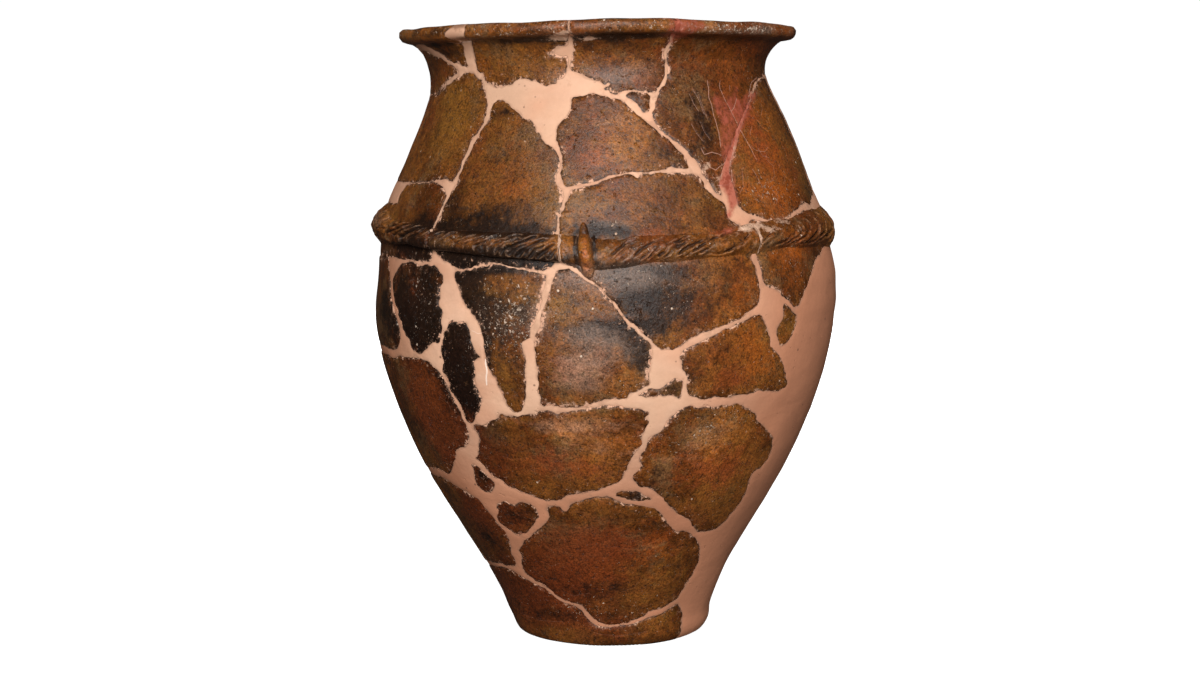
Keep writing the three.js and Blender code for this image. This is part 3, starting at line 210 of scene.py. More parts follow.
    "lower_chip_centre": [(2.9, 75.2), (4.1, 76.1), (5.8, 76.5), (7.9, 76.4), (9.7, 76.4), (11, 74.9), (12.6, 73.4), (14.1, 71.4), (10.9, 71.6), (9.1, 71.7), (6.9, 72.3), (5.3, 73.3), (4.1, 73.8)],
    "bottom_sherd": [(-19.2, 67.7), (-17.7, 68.8), (-16.1, 68.9), (-14.5, 68.6), (-13.7, 66.7), (-12.8, 66.3), (-11.6, 68.3), (-10.2, 70.2), (-8.6, 71.3), (-6.7, 72.3), (-4.8, 73.3), (-2.7, 73.8), (-0.6, 73.8), (0.9, 73.8), (2.4, 72.8), (3.6, 71.4), (5.4, 70.4), (7.3, 69.9), (9.5, 69.3), (13.1, 68.2), (14.9, 67.1), (17, 66), (18.3, 63.9), (20.1, 61.4), (22.1, 58.8), (24.1, 56.6), (26, 55.4), (27.9, 55.6), (30.4, 54.3), (32.8, 52.5), (35.5, 50.1), (38, 47.8), (39.8, 45), (41.7, 41.3), (42.8, 38.1), (42.3, 35.8), (42.4, 33.3), (41.6, 31), (40.8, 28.7), (39.3, 26.4), (38.3, 24.1), (37.3, 21.8), (36.5, 20.5), (32, 18.6), (28.7, 17.5), (25.3, 16.9), (22, 16.2), (19.1, 14.3), (15.9, 13.2), (12.5, 12.3), (9.3, 11.5), (5.5, 11.1), (2.6, 10.7), (-0.6, 10.7), (-3.9, 11.2), (-6.7, 12.6), (-8.8, 14.5), (-10.2, 16.4), (-12, 18.2), (-13.3, 19.6), (-15.7, 20.5), (-18.6, 21.1), (-21.6, 21.9), (-24.1, 22.8), (-25.7, 24.5), (-27.8, 26.3), (-30.3, 27.9), (-33.4, 28.6), (-36, 30.2), (-38.2, 31.8), (-39.3, 33.5), (-39.4, 35.7), (-38.5, 38.9), (-37.4, 42), (-36.5, 45.1), (-34.5, 47.3), (-32.2, 49.6), (-29.7, 52), (-27.3, 54.2), (-24.3, 56.6), (-22.4, 58.2), (-19.9, 61.4), (-18.4, 64.4), (-19.2, 65.8)],
    "base_sherd_front": [(-58.5, 33.2), (-49.3, 33.6), (-45, 31.9), (-42.1, 30.4), (-38.8, 28.5), (-33.5, 27.3), (-30, 26.2), (-27.7, 23.5), (-24.6, 21.4), (-21.2, 20.2), (-17.1, 19.5), (-14.3, 17.7), (-13.1, 15.4), (-10.7, 13), (-9.2, 11.2), (-5.1, 9.8), (-0.9, 9.4), (3.6, 9.9), (6.9, 10.3), (11.4, 10.6), (15.8, 11.8), (19.6, 13), (23, 13.7), (27.5, 14.7), (31.6, 15.7), (34.9, 17.3), (37.9, 18.3), (40.8, 16), (44.6, 12), (44.3, 8.3), (42.7, 5.7), (52, -6), (-98, -6), (-100, 8), (-96, 20), (-88, 28)],
    "rim_sherd_back_right": [(112, 276), (110, 258), (114, 246), (126, 240), (140, 236), (152, 240), (160, 248), (163, 262), (161, 276)],
    "rim_sherd_back_left": [(168, 276), (170, 262), (167, 250), (176, 242), (190, 238), (206, 241), (218, 246), (226, 254), (228, 276)],
    "shoulder_sherd_back_right": [(104, 244), (92, 242), (87.5, 236), (86.4, 224), (86.6, 210), (88, 199), (96, 193), (108, 190), (122, 192), (134, 196), (142, 206), (146, 220), (138, 230), (124, 235)],
    "shoulder_sherd_back": [(152, 232), (150, 216), (148, 202), (152, 190), (150, 176), (160, 170), (176, 168), (190, 172), (196, 184), (192, 198), (196, 212), (188, 224), (172, 232), (162, 236)],
    "belly_sherd_back_right": [(96, 184), (94, 168), (97, 150), (92, 138), (104, 130), (120, 128), (134, 134), (144, 146), (145, 162), (140, 176), (126, 184), (110, 187)],
    "belly_sherd_back": [(152, 162), (150, 146), (156, 132), (154, 118), (168, 112), (184, 114), (198, 120), (204, 134), (200, 150), (192, 164), (176, 162)],
    "belly_sherd_back_left": [(204, 176), (208, 160), (212, 142), (222, 126), (236, 122), (248, 130), (252, 150), (248, 164), (250, 190), (240, 200), (224, 202), (208, 194)],
    "lower_sherd_back": [(150, 104), (144, 88), (150, 72), (170, 62), (190, 60), (208, 68), (218, 82), (212, 98), (196, 108), (172, 106)],
    "base_sherd_back": [(110, -6), (112, 14), (106, 30), (118, 44), (134, 52), (152, 50), (166, 44), (180, 48), (196, 52), (214, 50), (232, 45), (246, 33), (243, 14), (247, -6)],
}
# plaster patches: the share of the wall that each covers, sherds left out
PATCHES = [
    ("lip_fill_left", [(-60, 250.6), (-27.6, 250.6), (-27.6, 290), (-60, 290)]),
    ("neck_fill_front", [(-60, 181), (27, 181), (27, 290), (-27.6, 290), (-27.6, 250.6), (-60, 250.6)]),
    ("shoulder_fill_right", [(27, 181), (108, 181), (108, 290), (27, 290)]),
    ("shoulder_fill_back_right", [(108, 181), (165, 181), (165, 290), (108, 290)]),
    ("shoulder_fill_back_left", [(165, 181), (232, 181), (232, 290), (165, 290)]),
    ("shoulder_fill_left", [(232, 181), (288, 181), (288, 290), (232, 290)]),
    ("shoulder_fill_left", [(-72, 181), (-60, 181), (-60, 290), (-72, 290)]),
    ("belly_fill_left", [(-72, -12), (-2, -12), (-2, 95), (-30, 95), (-30, 181), (-72, 181)]),
    ("belly_fill_front_left", [(-30, 95), (-2, 95), (-2, 181), (-30, 181)]),
    ("belly_fill_front", [(-2, 45), (25, 45), (25, 181), (-2, 181)]),
    ("belly_fill_right", [(-2, -12), (66, -12), (66, 181), (25, 181), (25, 45), (-2, 45)]),
    ("lower_fill_right", [(66, -12), (120, -12), (120, 181), (66, 181)]),
    ("lower_fill_back", [(120, -12), (240, -12), (240, 181), (120, 181)]),
    ("lower_fill_left", [(240, -12), (288, -12), (288, 181), (240, 181)]),
]
# clouds and tones of the fired surface: kind, angle, height, half width and half height in mm, turn, strength
# K black, O orange, L olive, R red brown, G painted grey sheen, S pale grit, M plaster smeared over the edge, B lighter
# or darker: firing clouds with painted light, painted shade and painted sheen among them
TONES = [
    ("K", -53.1, 258.5, 13.5, 2.7, 0, 0.45),
    ("K", -23.1, 261.2, 22, 3.1, 0, 0.35),
    ("K", 4.1, 259.6, 20.3, 3.1, 0, 0.35),
    # dark line under the lip: painted shade of the crease
    ("K", 0.9, 262.8, 27, 1.4, 0, 0.4),
    ("K", 30.2, 232.3, 6.8, 12.6, 0, 0.15),
    ("K", 27.2, 216.3, 7.1, 8.1, 0, 0.15),
    ("K", -50, 185.7, 15.4, 5.4, 0, 0.45),
    # just under the cordon: black clouding with painted shadow of the cordon's overhang
    ("K", -52.7, 175.1, 17.8, 3.6, 0, 0.7),
    ("K", -25.5, 184.4, 27.9, 4, 0, 0.8),
    ("K", -42.7, 203.7, 6.1, 15.3, 15, 0.35),
    ("K", -35.2, 222.9, 6.6, 6.3, 0, 0.25),
    ("K", -30.8, 232.9, 7.3, 3.6, 0, 0.45),
    # just under the cordon: black clouding with painted shadow of the cordon's overhang
    ("K", -27.8, 172.7, 25.4, 4, 3, 1.5),
    ("K", -31.7, 190.9, 11.6, 4, 0, 0.4),
    ("K", 15.4, 217.2, 11.7, 5.9, 0, 0.4),
    ("K", 22.8, 202.8, 12.2, 4, 0, 0.35),
    ("K", 2.1, 185.7, 9.9, 3.6, -8, 0.8),
    ("K", 7.5, 169.1, 25.4, 4, 0, 0.6),
    ("K", 10.6, 158.7, 17.4, 8.1, 0, 0.8),
    ("K", 21.3, 150.1, 12.1, 6.3, 0, 0.32),
    ("K", 9.3, 146.7, 8.2, 4, 0, 0.5),
    ("K", -0.8, 146.8, 15.3, 4, 0, 0.75),
    ("K", 3.2, 137.1, 15.3, 7.2, 0, 0.45),
    ("K", -19.8, 145.4, 19.1, 18, 0, 0.4),
    ("K", -27.9, 156.9, 15.3, 9.9, 0, 0.35),
    ("K", 9.6, 132.8, 7.3, 8.1, 0, 0.45),
    ("K", -35, 165.3, 7.7, 5.4, 0, 0.8),
    # just under the cordon: black clouding with painted shadow of the cordon's overhang
    ("K", -25.2, 171.2, 20.9, 1.8, 0, 0.7),
    ("K", -30.7, 138.3, 4.7, 11.2, 0, 0.4),
    ("K", -31.6, 149.3, 5.3, 4.5, 0, 0.45),
    ("K", -51.2, 152.3, 19.4, 19.8, 0, 1.1),
    ("K", -53, 159.2, 6.7, 8.1, 0, -0.55),
    ("K", -36, 128, 11.1, 22.5, 0, 1.1),
    ("K", -34.4, 137, 4.4, 5.4, 0, -0.4),
    ("K", -68.1, 147.6, 14.5, 18.9, 0, 0.45),
    ("K", -40.3, 124.4, 8.3, 6.3, 0, 0.5),
    ("K", -62.8, 95.8, 14.8, 9, 0, 0.35),
    ("K", -16, 96.4, 10.3, 4, 0, 0.25),
    ("K", -25.8, 93.6, 8, 4.5, 0, 0.3),
    ("K", -7.4, 80.6, 12.7, 4, 0, 0.22),
    ("K", 23.8, 126, 6.9, 5.4, 0, 0.28),
    ("K", 19.7, 131, 3.8, 5.4, 0, 0.35),
    ("K", 15.5, 81.1, 6.5, 9, 0, 0.35),
    ("K", -21.3, 46.1, 9.7, 9, 0, 0.25),
    ("K", -3.4, 28.1, 22.5, 5.9, 0, 0.45),
    ("K", 31.4, 40.9, 4.7, 11.2, 0, 0.3),
    ("K", -39.8, 14.2, 23.4, 4.5, 0, 0.45),
    ("K", -51.7, 47.2, 10.2, 9, 0, 0.5),
    ("K", -30.7, 61.5, 8.4, 6.3, 0, 0.55),
    ("K", -37.7, 80.5, 5.1, 4, 0, 0.6),
    ("K", 8.6, 74.1, 6.4, 2.7, 0, 0.6),
    ("K", -41.9, 143.1, 3.6, 9, 0, 0.5),
    ("K", 84.8, 228.7, 14.4, 18, -20, 0.25),
    ("K", 73.9, 198.7, 13, 7.2, 0, 0.35),
    ("K", 62, 172, 8.6, 4.5, 0, 0.35),
    ("K", -10.6, 172.2, 3.7, 1.8, 0, 0.25),
    ("K", 15.7, 121.6, 4.2, 2.2, 0, 0.4),
    ("K", -20.8, 193.3, 14.4, 6.3, 0, 0.3),
    ("K", -42.5, 133.8, 12.2, 3.6, 0, 0.5),
    ("O", -57.4, 264.1, 20.9, 2.7, 0, 0.21),
    ("O", -25.4, 265.9, 22.4, 1.8, 0, 0.36),
    ("O", 45.6, 254.5, 28.9, 7.2, 0, 0.3),
    ("O", 70.3, 266.3, 13.3, 3.1, 0, 0.6),
    ("O", 53.9, 220.7, 21.4, 26.1, 0, 0.6),
    ("O", 48.6, 198.1, 21.8, 6.3, 0, 0.55),
    ("O", -22.6, 208.4, 13.6, 12.6, 0, 0.24),
    ("O", -21.5, 200.4, 11.6, 5.4, 0, 0.21),
    ("O", 9, 191.6, 13.7, 3.1, 0, 0.21),
    ("O", 23.5, 182.8, 16.7, 3.1, 0, 0.27),
    ("O", 33.1, 158.1, 9.7, 14.4, 0, 0.5),
    ("O", -13.2, 145.7, 5.1, 12.6, 0, 0.24),
    ("O", -10.9, 118.5, 14.7, 4, 0, 0.18),
    ("O", -31.4, 83.8, 10.5, 5.4, 0, 0.27),
    ("O", 4.1, 99.6, 9, 11.2, 0, 0.3),
    ("O", 32.6, 136.8, 20.3, 11.2, 0, 0.35),
    ("O", 41, 128.5, 10.7, 10.8, 0, 0.5),
    ("O", 41.6, 91.2, 12, 11.7, 0, 0.2),
    ("O", 15.9, 52.5, 14, 11.2, 0, 0.27),
    ("O", 16.4, 7, 12.2, 3.1, 0, 0.24),
    ("O", 50, 173.3, 15.4, 14.4, 0, 0.5),
    ("O", 53.1, 183.4, 21, 7.2, 0, 0.45),
    ("O", 84.9, 182.5, 14.4, 6.3, 0, 1.1),
    ("O", -4.4, 179.8, 2.3, 9, 0, 0.3),
    ("O", 2.4, 177.8, 7.2, 3.6, 0, 0.24),
    ("O", 11.9, 178.9, 12, 3.1, 0, 0.27),
    ("O", -16.3, 179.2, 8.4, 2.7, 0, 0.27),
    ("O", -43.3, 81.8, 6.2, 5.4, 0, 0.24),
    ("O", 49.2, 144.2, 5.5, 7.2, 0, 0.25),
    ("O", -40, 254.9, 11.7, 5.4, 0, 0.15),
    ("O", -61.9, 255.9, 13.4, 5.4, 0, 0.18),
    ("L", -65.6, 262.3, 27.2, 3.1, 0, 0.4),
    ("L", -53.8, 229.7, 16.8, 18.9, 0, 0.9),
    ("L", -15.8, 196.6, 9.4, 9, 0, 0.5),
    ("L", -9.8, 229.3, 4.6, 11.2, 0, 0.4),
    ("L", -0.8, 196.7, 13.5, 5.4, 0, 0.6),
    ("L", 29.3, 195, 10.3, 6.3, 0, 0.5),
    ("L", 29.4, 144.6, 11.4, 5.9, 0, 0.5),
    ("L", -10.8, 153.9, 9.2, 9, 0, 0.7),
    ("L", -30.6, 158.7, 10.5, 5.9, 0, 0.55),
    ("L", -19.1, 157.5, 9.5, 6.3, 0, 0.5),
    ("L", -24.2, 126, 7.9, 11.2, 0, 0.45),
    ("L", -79.2, 154.6, 10.8, 13.5, 0, 0.4),
    ("L", 40.3, 135, 10.6, 11.2, 0, 0.5),
    ("L", 25.2, 99, 20.9, 9, 0, 0.3),
    ("L", -29.4, 7.3, 16.5, 3.6, 0, 0.5),
    ("L", -59.3, 64.5, 5.3, 6.3, 0, 0.4),
    ("L", 70.6, 205.3, 12.2, 15.3, 0, 0.7),
    ("L", 49.2, 144.2, 6.2, 8.1, 0, 0.7),
    ("L", -68.1, 188.4, 9.7, 5.4, 0, 0.5),
    ("L", -1.2, 175.9, 3.6, 7.2, 0, 0.5),
    ("L", 15.1, 175.6, 14, 2.7, 0, 0.4),
    ("L", -7.9, 181.7, 4.1, 6.3, 0, 0.4),
    ("L", 57.3, 249.9, 25, 6.3, 0, 0.3),
    ("R", 1.1, 257.3, 14.4, 3.6, 0, 0.3),
    ("R", 55.6, 267.2, 25.5, 2.7, 0, 0.5),
    ("R", 48.1, 231.1, 9.4, 13.5, 0, 0.5),
    ("R", 66.2, 209.8, 13.4, 13.5, 0, 0.5),
    ("R", -38.6, 217, 6.3, 13.5, 0, 0.4),
    ("R", -58.9, 172.4, 10.5, 3.6, 0, 0.6),
    ("R", -3.8, 214.9, 11.3, 5.9, 0, 0.5),
    ("R", 14.4, 199, 18.6, 4, 0, 0.35),
    ("R", -53, 158.4, 6.7, 7.2, 0, 0.6),
    ("R", -34.4, 137, 4.4, 5.4, 0, 0.7),
    ("R", -48.8, 109.9, 20.5, 18.9, 0, 1),
    ("R", -24, 89.3, 20.7, 9, 0, 0.55),
    ("R", -46.1, 112.6, 19.5, 18, 0, 0.5),
    ("R", -49, 23.4, 27.4, 13.5, 0, 0.5),
    ("R", -1.6, 86.2, 9, 5.4, 0, 0.4),
    ("R", 31.9, 126.8, 7.4, 6.3, 0, 0.4),
    ("R", 24.1, 84.8, 17.7, 11.2, 0, 0.5),
    ("R", -2.2, 53.1, 18, 13.5, 0, 0.55),
    ("R", -22.8, 27, 9.8, 5.9, 0, 0.4),
    ("R", -5, 10.3, 19, 4.5, 0, 0.4),
    ("R", -50.7, 56.9, 15.6, 14.4, 0, 0.8),
    ("R", -30.7, 61.5, 8.4, 6.3, 0, 0.5),
    ("R", -9.4, 129.5, 9.1, 6.3, 0, 0.45),
    ("R", -30.3, 201, 5.2, 13.5, 15, 0.25),
    ("R", 85.8, 254.9, 39.6, 7.2, 0, 0.4),
    ("R", 86.7, 261.5, 28.8, 4.5, 0, 0.4),
    ("R", 53.3, 191.6, 10.5, 4.5, 0, 0.4),
    ("R", -12.9, 40.3, 27.7, 16.2, 0, 0.9),
    ("R", -45.7, 99.4, 16.8, 27, -15, 0.8),
    ("R", -35.4, 69.3, 11, 13.5, -30, 0.8),
    ("R", -68.3, 15, 36.5, 18, 0, 0.6),
    ("R", -52.7, 175.1, 19.3, 4, 0, 0.6),
    ("R", 35.6, 225, 11.1, 22.5, 0, 0.4),
    ("R", 32.2, 123.4, 10.6, 4.5, 0, 0.5),
    ("R", 38.3, 82.7, 8, 10.8, 0, 0.5),
    ("R", -52.5, 141.6, 14.8, 18, 0, 0.6),
    ("R", -35.4, 135.6, 7.7, 10.8, 0, 0.6),
    ("R", -12.8, 85.8, 13.8, 6.3, 0, 0.4),
    ("G", -30.7, 251.3, 20.9, 5.4, 0, 0.35),
    ("G", 0.3, 245.3, 11.7, 4.5, 0, 0.8),
    ("G", 13.3, 248, 12, 6.8, 0, 0.45),
    ("G", -3.9, 108.4, 27.1, 6.3, 0, 0.35),
    ("G", -1.6, 86.2, 22.5, 9, 0, 0.25),
    ("G", 38.6, 265.1, 24.2, 2.7, 0, 0.7),
    ("G", 0.6, 265.8, 21.6, 1.8, 0, 0.5),
    ("G", 29.9, 231, 6.7, 12.2, 0, 0.2),
    ("G", -53.8, 216.7, 13.7, 11.2, 0, 0.3),
    ("G", -60.5, 195.3, 14.6, 6.8, 0, 0.4),
    ("G", -17.4, 213.3, 5.7, 10.8, 0, 0.35),
    ("G", -41, 219.1, 7.2, 4.5, 0, 0.3),
    ("G", 2.4, 229.2, 14.4, 7.7, 0, 0.45),
    ("G", 1.6, 188.5, 10.8, 2.2, 0, 0.7),
    ("G", 4, 167.6, 20.8, 6.3, 0, 1.2),
    ("G", -3.6, 144, 9.9, 3.6, 0, 0.8),
    ("G", 4.3, 137.9, 9.9, 5.4, 0, 0.5),
    ("G", 23.7, 161.3, 9.8, 6.3, 0, 0.4),
    ("G", -9.4, 166.7, 8.2, 3.6, 0, 0.8),
    ("G", -1.3, 137.1, 13.5, 9, 0, 0.4),
    ("G", 8.5, 122.8, 6.8, 4, 0, 0.6),
    ("G", -23.5, 145.1, 8.8, 6.8, 0, 0.35),
    ("G", -11.4, 105.9, 19.3, 4, 0, 0.45),
    ("G", 25.9, 93.6, 18, 9, 0, 0.5),
    ("G", 1.2, 62.9, 13.5, 5.4, 0, 0.4),
    ("G", 30.3, 104.6, 15.6, 4.5, 0, 0.4),
    ("G", -78.2, 184.5, 18, 4.5, 0, 0.6),
    ("G", -33.6, 179.5, 16.2, 2.2, 0, 0.35),
    ("G", 19.7, 172.7, 10.5, 2.2, 0, 0.4),
    ("G", -8.5, 177.8, 3.2, 3.6, 0, 0.5),
    ("G", -6, 123.3, 11.3, 3.6, 0, 0.4),
    ("G", 32.6, 21, 10.7, 3.6, 0, 0.3),
    ("S", -21.2, 149.3, 18.3, 14.4, 0, 0.9),
    ("S", 3.8, 164, 19.8, 9.9, 0, 0.35),
    ("S", 49, 199.3, 17.8, 6.3, 0, 0.6),
    ("S", 2.7, 166, 18, 5.4, 0, 0.2),
    ("S", -1.3, 123.4, 18, 7.2, 0, 0.4),
    ("S", 2.8, 188.1, 9.9, 3.1, 0, 0.6),
    ("S", -29.4, 181, 23.2, 2.7, 0, 0.7),
    ("S", -19.7, 253.4, 9.6, 3.6, 0, 0.4),
    ("S", 48.9, 169.3, 13.7, 9, 0, 0.5),
    ("S", -12.7, 227.3, 4.6, 5.4, 0, 0.3),
    ("S", 11.8, 178.5, 23, 2.7, 0, 0.6),
    ("S", -9.6, 18, 22.8, 4.5, 0, 0.4),
    ("S", -31.4, 140.2, 5.3, 9, 0, 0.5),
    ("S", 50.6, 266, 21.3, 2.2, 0, 0.5),
    ("S", 18.9, 149.5, 9.5, 8.1, 0, 0.3),
    ("S", -49.8, 154.6, 11.2, 13.5, 0, 0.25),
    ("M", -15.5, 155.7, 6.5, 9.9, 0, 0.8),
    ("M", 11.4, 128.6, 6.4, 7.2, 0, 0.9),
    ("M", 19.5, 147.4, 6.7, 3.6, -25, 0.9),
    ("M", -13.8, 143.7, 4.2, 6.3, 0, 0.6),
    ("M", -10.8, 199, 2.7, 5.4, 0, 0.4),
    ("M", 26.2, 208.3, 10, 4.5, 30, 0.7),
    ("M", -9.7, 256.8, 6.4, 4.5, 0, 0.6),
    ("M", 49.4, 185.7, 8.3, 3.6, 0, 1),
    ("M", 38.7, 183.6, 8.1, 3.6, 0, 0.9),
    ("M", 16.8, 92.3, 3.8, 9, 0, 0.4),
    ("M", -33.3, 244.2, 6.5, 2.7, 0, 0.5),
    ("M", -20.8, 242.7, 7.7, 2.2, 0, 0.5),
    ("M", -29, 117.3, 4.1, 9, 0, 0.5),
    ("M", -9.7, 117.7, 9.1, 2.7, 0, 0.4),
    ("M", 3.4, 115.3, 9, 2.2, 0, 0.4),
    ("B", 32.3, 92.8, 18.1, 15.3, 0, 0.95),
    ("B", 4.4, 132.9, 16.2, 12.6, 0, 0.4),
    ("B", -11.5, 103.7, 20.2, 5.4, 0, 0.8),
    ("B", -1.5, 94.3, 22.5, 11.7, 0, 0.35),
    # lighter on the shoulder in front: painted sheen
    ("B", 1.6, 217.3, 15.3, 18, 0, 0.45),
    ("B", 20.6, 48.1, 11.5, 6.3, 0, 0.7),
    ("B", 28, 217.1, 6.1, 12.6, 0, 0.5),
    ("B", 25.6, 126.2, 9, 5.4, 0, 0.7),
    ("B", 21.8, 152.5, 12.6, 8.1, 0, 0.6),
    ("B", 3.4, 175.5, 31.6, 3.6, 0, 0.5),
    ("B", -27.7, 20.6, 12.2, 3.6, 0, 0.5),
    ("B", 7.4, 167.9, 22.7, 10.8, 0, -0.15),
    ("B", -22.3, 145.2, 22.4, 22.5, 0, 0.05),
    ("B", -23.8, 153.2, 14.8, 11.7, 0, 0.3),
    ("B", 4.2, 205.4, 13.5, 6.3, 0, -0.35),
    ("B", -30.7, 115, 36.6, 13.5, 0, -0.2),
    ("B", -59, 55.2, 34.9, 27, -20, -0.25),
    # left edge of the neck lighter: painted light
    ("B", -85.2, 233.7, 25.2, 27, -10, 0.8),
    ("B", -53.4, 158.3, 7.5, 7.2, 0, 0.7),
    ("B", -33.4, 240, 23.7, 15.3, 0, -0.15),
    ("B", -10.5, 133.6, 7.3, 5.4, 0, 0.35),
    # left edge of the neck lighter: painted light
    ("B", -85.2, 233.7, 25.2, 22.5, -10, 0.3),
    ("B", 25.9, 93.6, 12, 9, 0, 0.25),
    ("B", -29.3, 209, 20.6, 22.5, 0, -0.5),
    ("B", -34.8, 190.7, 24.1, 5.4, 0, -0.6),
    # just under the cordon: darker, painted shadow of the cordon's overhang
    ("B", -25.2, 170.8, 29.8, 3.6, 3, -1),
    ("B", -46.1, 133.3, 19.5, 13.5, 0, -0.55),
    ("B", -38.7, 105.1, 17.3, 27, -15, -0.75),
    ("B", -35.9, 73.9, 13.3, 18, -30, -0.8),
    ("B", -46.9, 26.2, 26.3, 18, -30, -0.65),
    ("B", 19.9, 201.2, 11.5, 4.5, 0, -0.45),
    ("B", 31.2, 136.1, 7.9, 5.4, 0, -0.25),
    ("B", 7.2, 154, 4.5, 2.7, 0, -0.5),
    ("B", -55.7, 141.1, 9.6, 27, 0, -0.35),
    ("B", 48.7, 140.1, 8.2, 11.7, 0, -0.2),
    # left edge of the neck lighter: painted light
    ("B", -85.1, 235.9, 21.6, 27, -10, 0.35),
    # lighter on the belly left of the front: painted sheen
    ("B", -6.4, 130.4, 9.1, 8.1, 0, 0.45),
    ("B", -62.1, 156.3, 9.6, 9, 0, 0.35),
    ("B", -21.1, 181.4, 14.5, 3.6, 0, 0.35),
    ("B", 13.4, 89.4, 9.3, 10.8, 0, 0.35),
    ("B", 5.8, 18.1, 27.1, 6.3, 0, -0.22),
    ("B", -24.5, 21.9, 14.8, 9, 0, -0.2),
    ("B", 83.4, 224.3, 21.6, 27, -12, -0.15),
    ("B", 9.5, 209.3, 13.7, 13.5, 0, -0.15),
    ("B", -14.8, 94.7, 15.8, 5.4, 0, 0.2),
    ("B", 12.2, 85.9, 5.5, 5.4, 0, 0.2),
    ("B", -54.8, 263.9, 23.4, 3.6, 0, 0.25),
    ("B", 33.3, 259.4, 32.3, 2.7, 0, 0.25),
    ("B", 1.1, 260.5, 27, 1.8, 0, 0.2),
    ("S", 22.3, 98.5, 17.5, 10.8, 0, 0.4),
    ("S", 25.4, 265.6, 29.9, 2.7, 0, 0.5),
    ("S", -21, 266, 28.9, 2.7, 0, 0.35),
    ("S", -49.4, 150.5, 13.8, 13.5, 0, 0.3),
    ("G", -6.4, 128.7, 11.8, 7.2, 0, 0.9),
    ("G", -5.4, 97.4, 22.6, 7.2, 0, 0.4),
    ("G", -35.7, 196.7, 11.1, 9, 0, 0.3),
    ("K", 38.8, 68.7, 11.5, 13.5, 0, 0.15),
    ("K", 29.3, 228.2, 7.2, 15.3, 0, 0.35),
    # dark lines down both sides of the lug: painted shadow of its undercut sides
    ("K", -6.4, 179.4, 0.9, 9.9, 0, 0.6),
    ("K", -2.3, 180.2, 1, 8.1, 0, 0.8),
    ("G", -8.3, 147.9, 18.2, 19.8, 0, 0.35),
    ("B", -4.2, 178.6, 2, 10.8, 0, 0.05),
    ("B", -4.2, 170.7, 2.7, 3.6, 0, 0.55),
    ("B", -9.5, 149.9, 18.3, 18, 0, 0.12),
    ("B", 29.7, 227, 7.3, 15.3, 0, -0.3),
    ("R", -4.3, 177.8, 2, 10.8, 0, 0.5),
    ("O", -4.1, 171.9, 2.7, 4, 0, 0.42),
    ("K", -4.2, 171.5, 2.7, 3.6, 0, -0.6),
    ("Z", 51.4, 224.8, 13, 18, 0, 0.35),
    ("Z", 39, 202.7, 8.1, 9.9, 0, 0.35),
    ("Z", 52.2, 212.4, 13.2, 13.5, 0, 0.3),
    ("Z", 28, 184.2, 7.1, 2.2, 0, 0.5),
    ("Z", 84.9, 183.8, 14.4, 6.3, 0, 0.5),
    ("P", -8.8, 263.7, 3.1, 1.4, 0, 0.8),
    ("P", -1.9, 261.9, 4, 0.7, 0, 0.75),
    ("P", -11.8, 262.8, 3.6, 0.7, 0, 0.7),
    ("P", -10.7, 261.6, 7.2, 0.9, 0, 0.4),
    ("P", 39.1, 186, 6.3, 1.6, 0, 0.75),
    ("P", 43.4, 183.3, 5.4, 1.4, 0, 0.6),
    ("P", 49.7, 186.9, 6.3, 2.7, 0, 0.55),
    ("P", 53.8, 182.5, 3.6, 2.2, 0, 0.45),
    ("P", 35.6, 184.2, 3.1, 1.4, 0, 0.6),
    ("P", 28.2, 209.8, 4, 1.8, 40, 0.55),
    ("P", 30.9, 206.6, 2.7, 1.4, 30, 0.5),
    ("P", -10.6, 128.6, 4.5, 3.6, 0, 0.22),
    ("P", -33.4, 171.9, 6.3, 1.4, 0, 0.35),
    ("P", 15.6, 233.7, 2.7, 3.6, 0, 0.4),
    ("P", 13.9, 236.9, 2.7, 2.2, 0, 0.35),
    ("P", 42, 266.4, 18, 1.8, 0, 0.22),
    ("P", 28.6, 264.9, 7.2, 2.2, 0, 0.25),
    ("P", -3.9, 169.2, 9, 3.6, 40, 0.18),
    ("P", -15.5, 157.7, 5.4, 10.8, 0, 0.22),
    ("D", -41.9, 269, 6.3, 1.6, 0, 1),
    ("D", -40.6, 263.3, 6.3, 0.7, 0, 0.9),
    ("D", 60.6, 189.4, 7.2, 6.3, 0, 0.35),
    ("D", 53.6, 185, 6.3, 2.7, 0, 0.4),
    ("D", 72.3, 192.3, 3.6, 4.5, 0, 0.35),
    ("D", -70.5, 261.6, 4.5, 1.8, 0, 0.4),
]
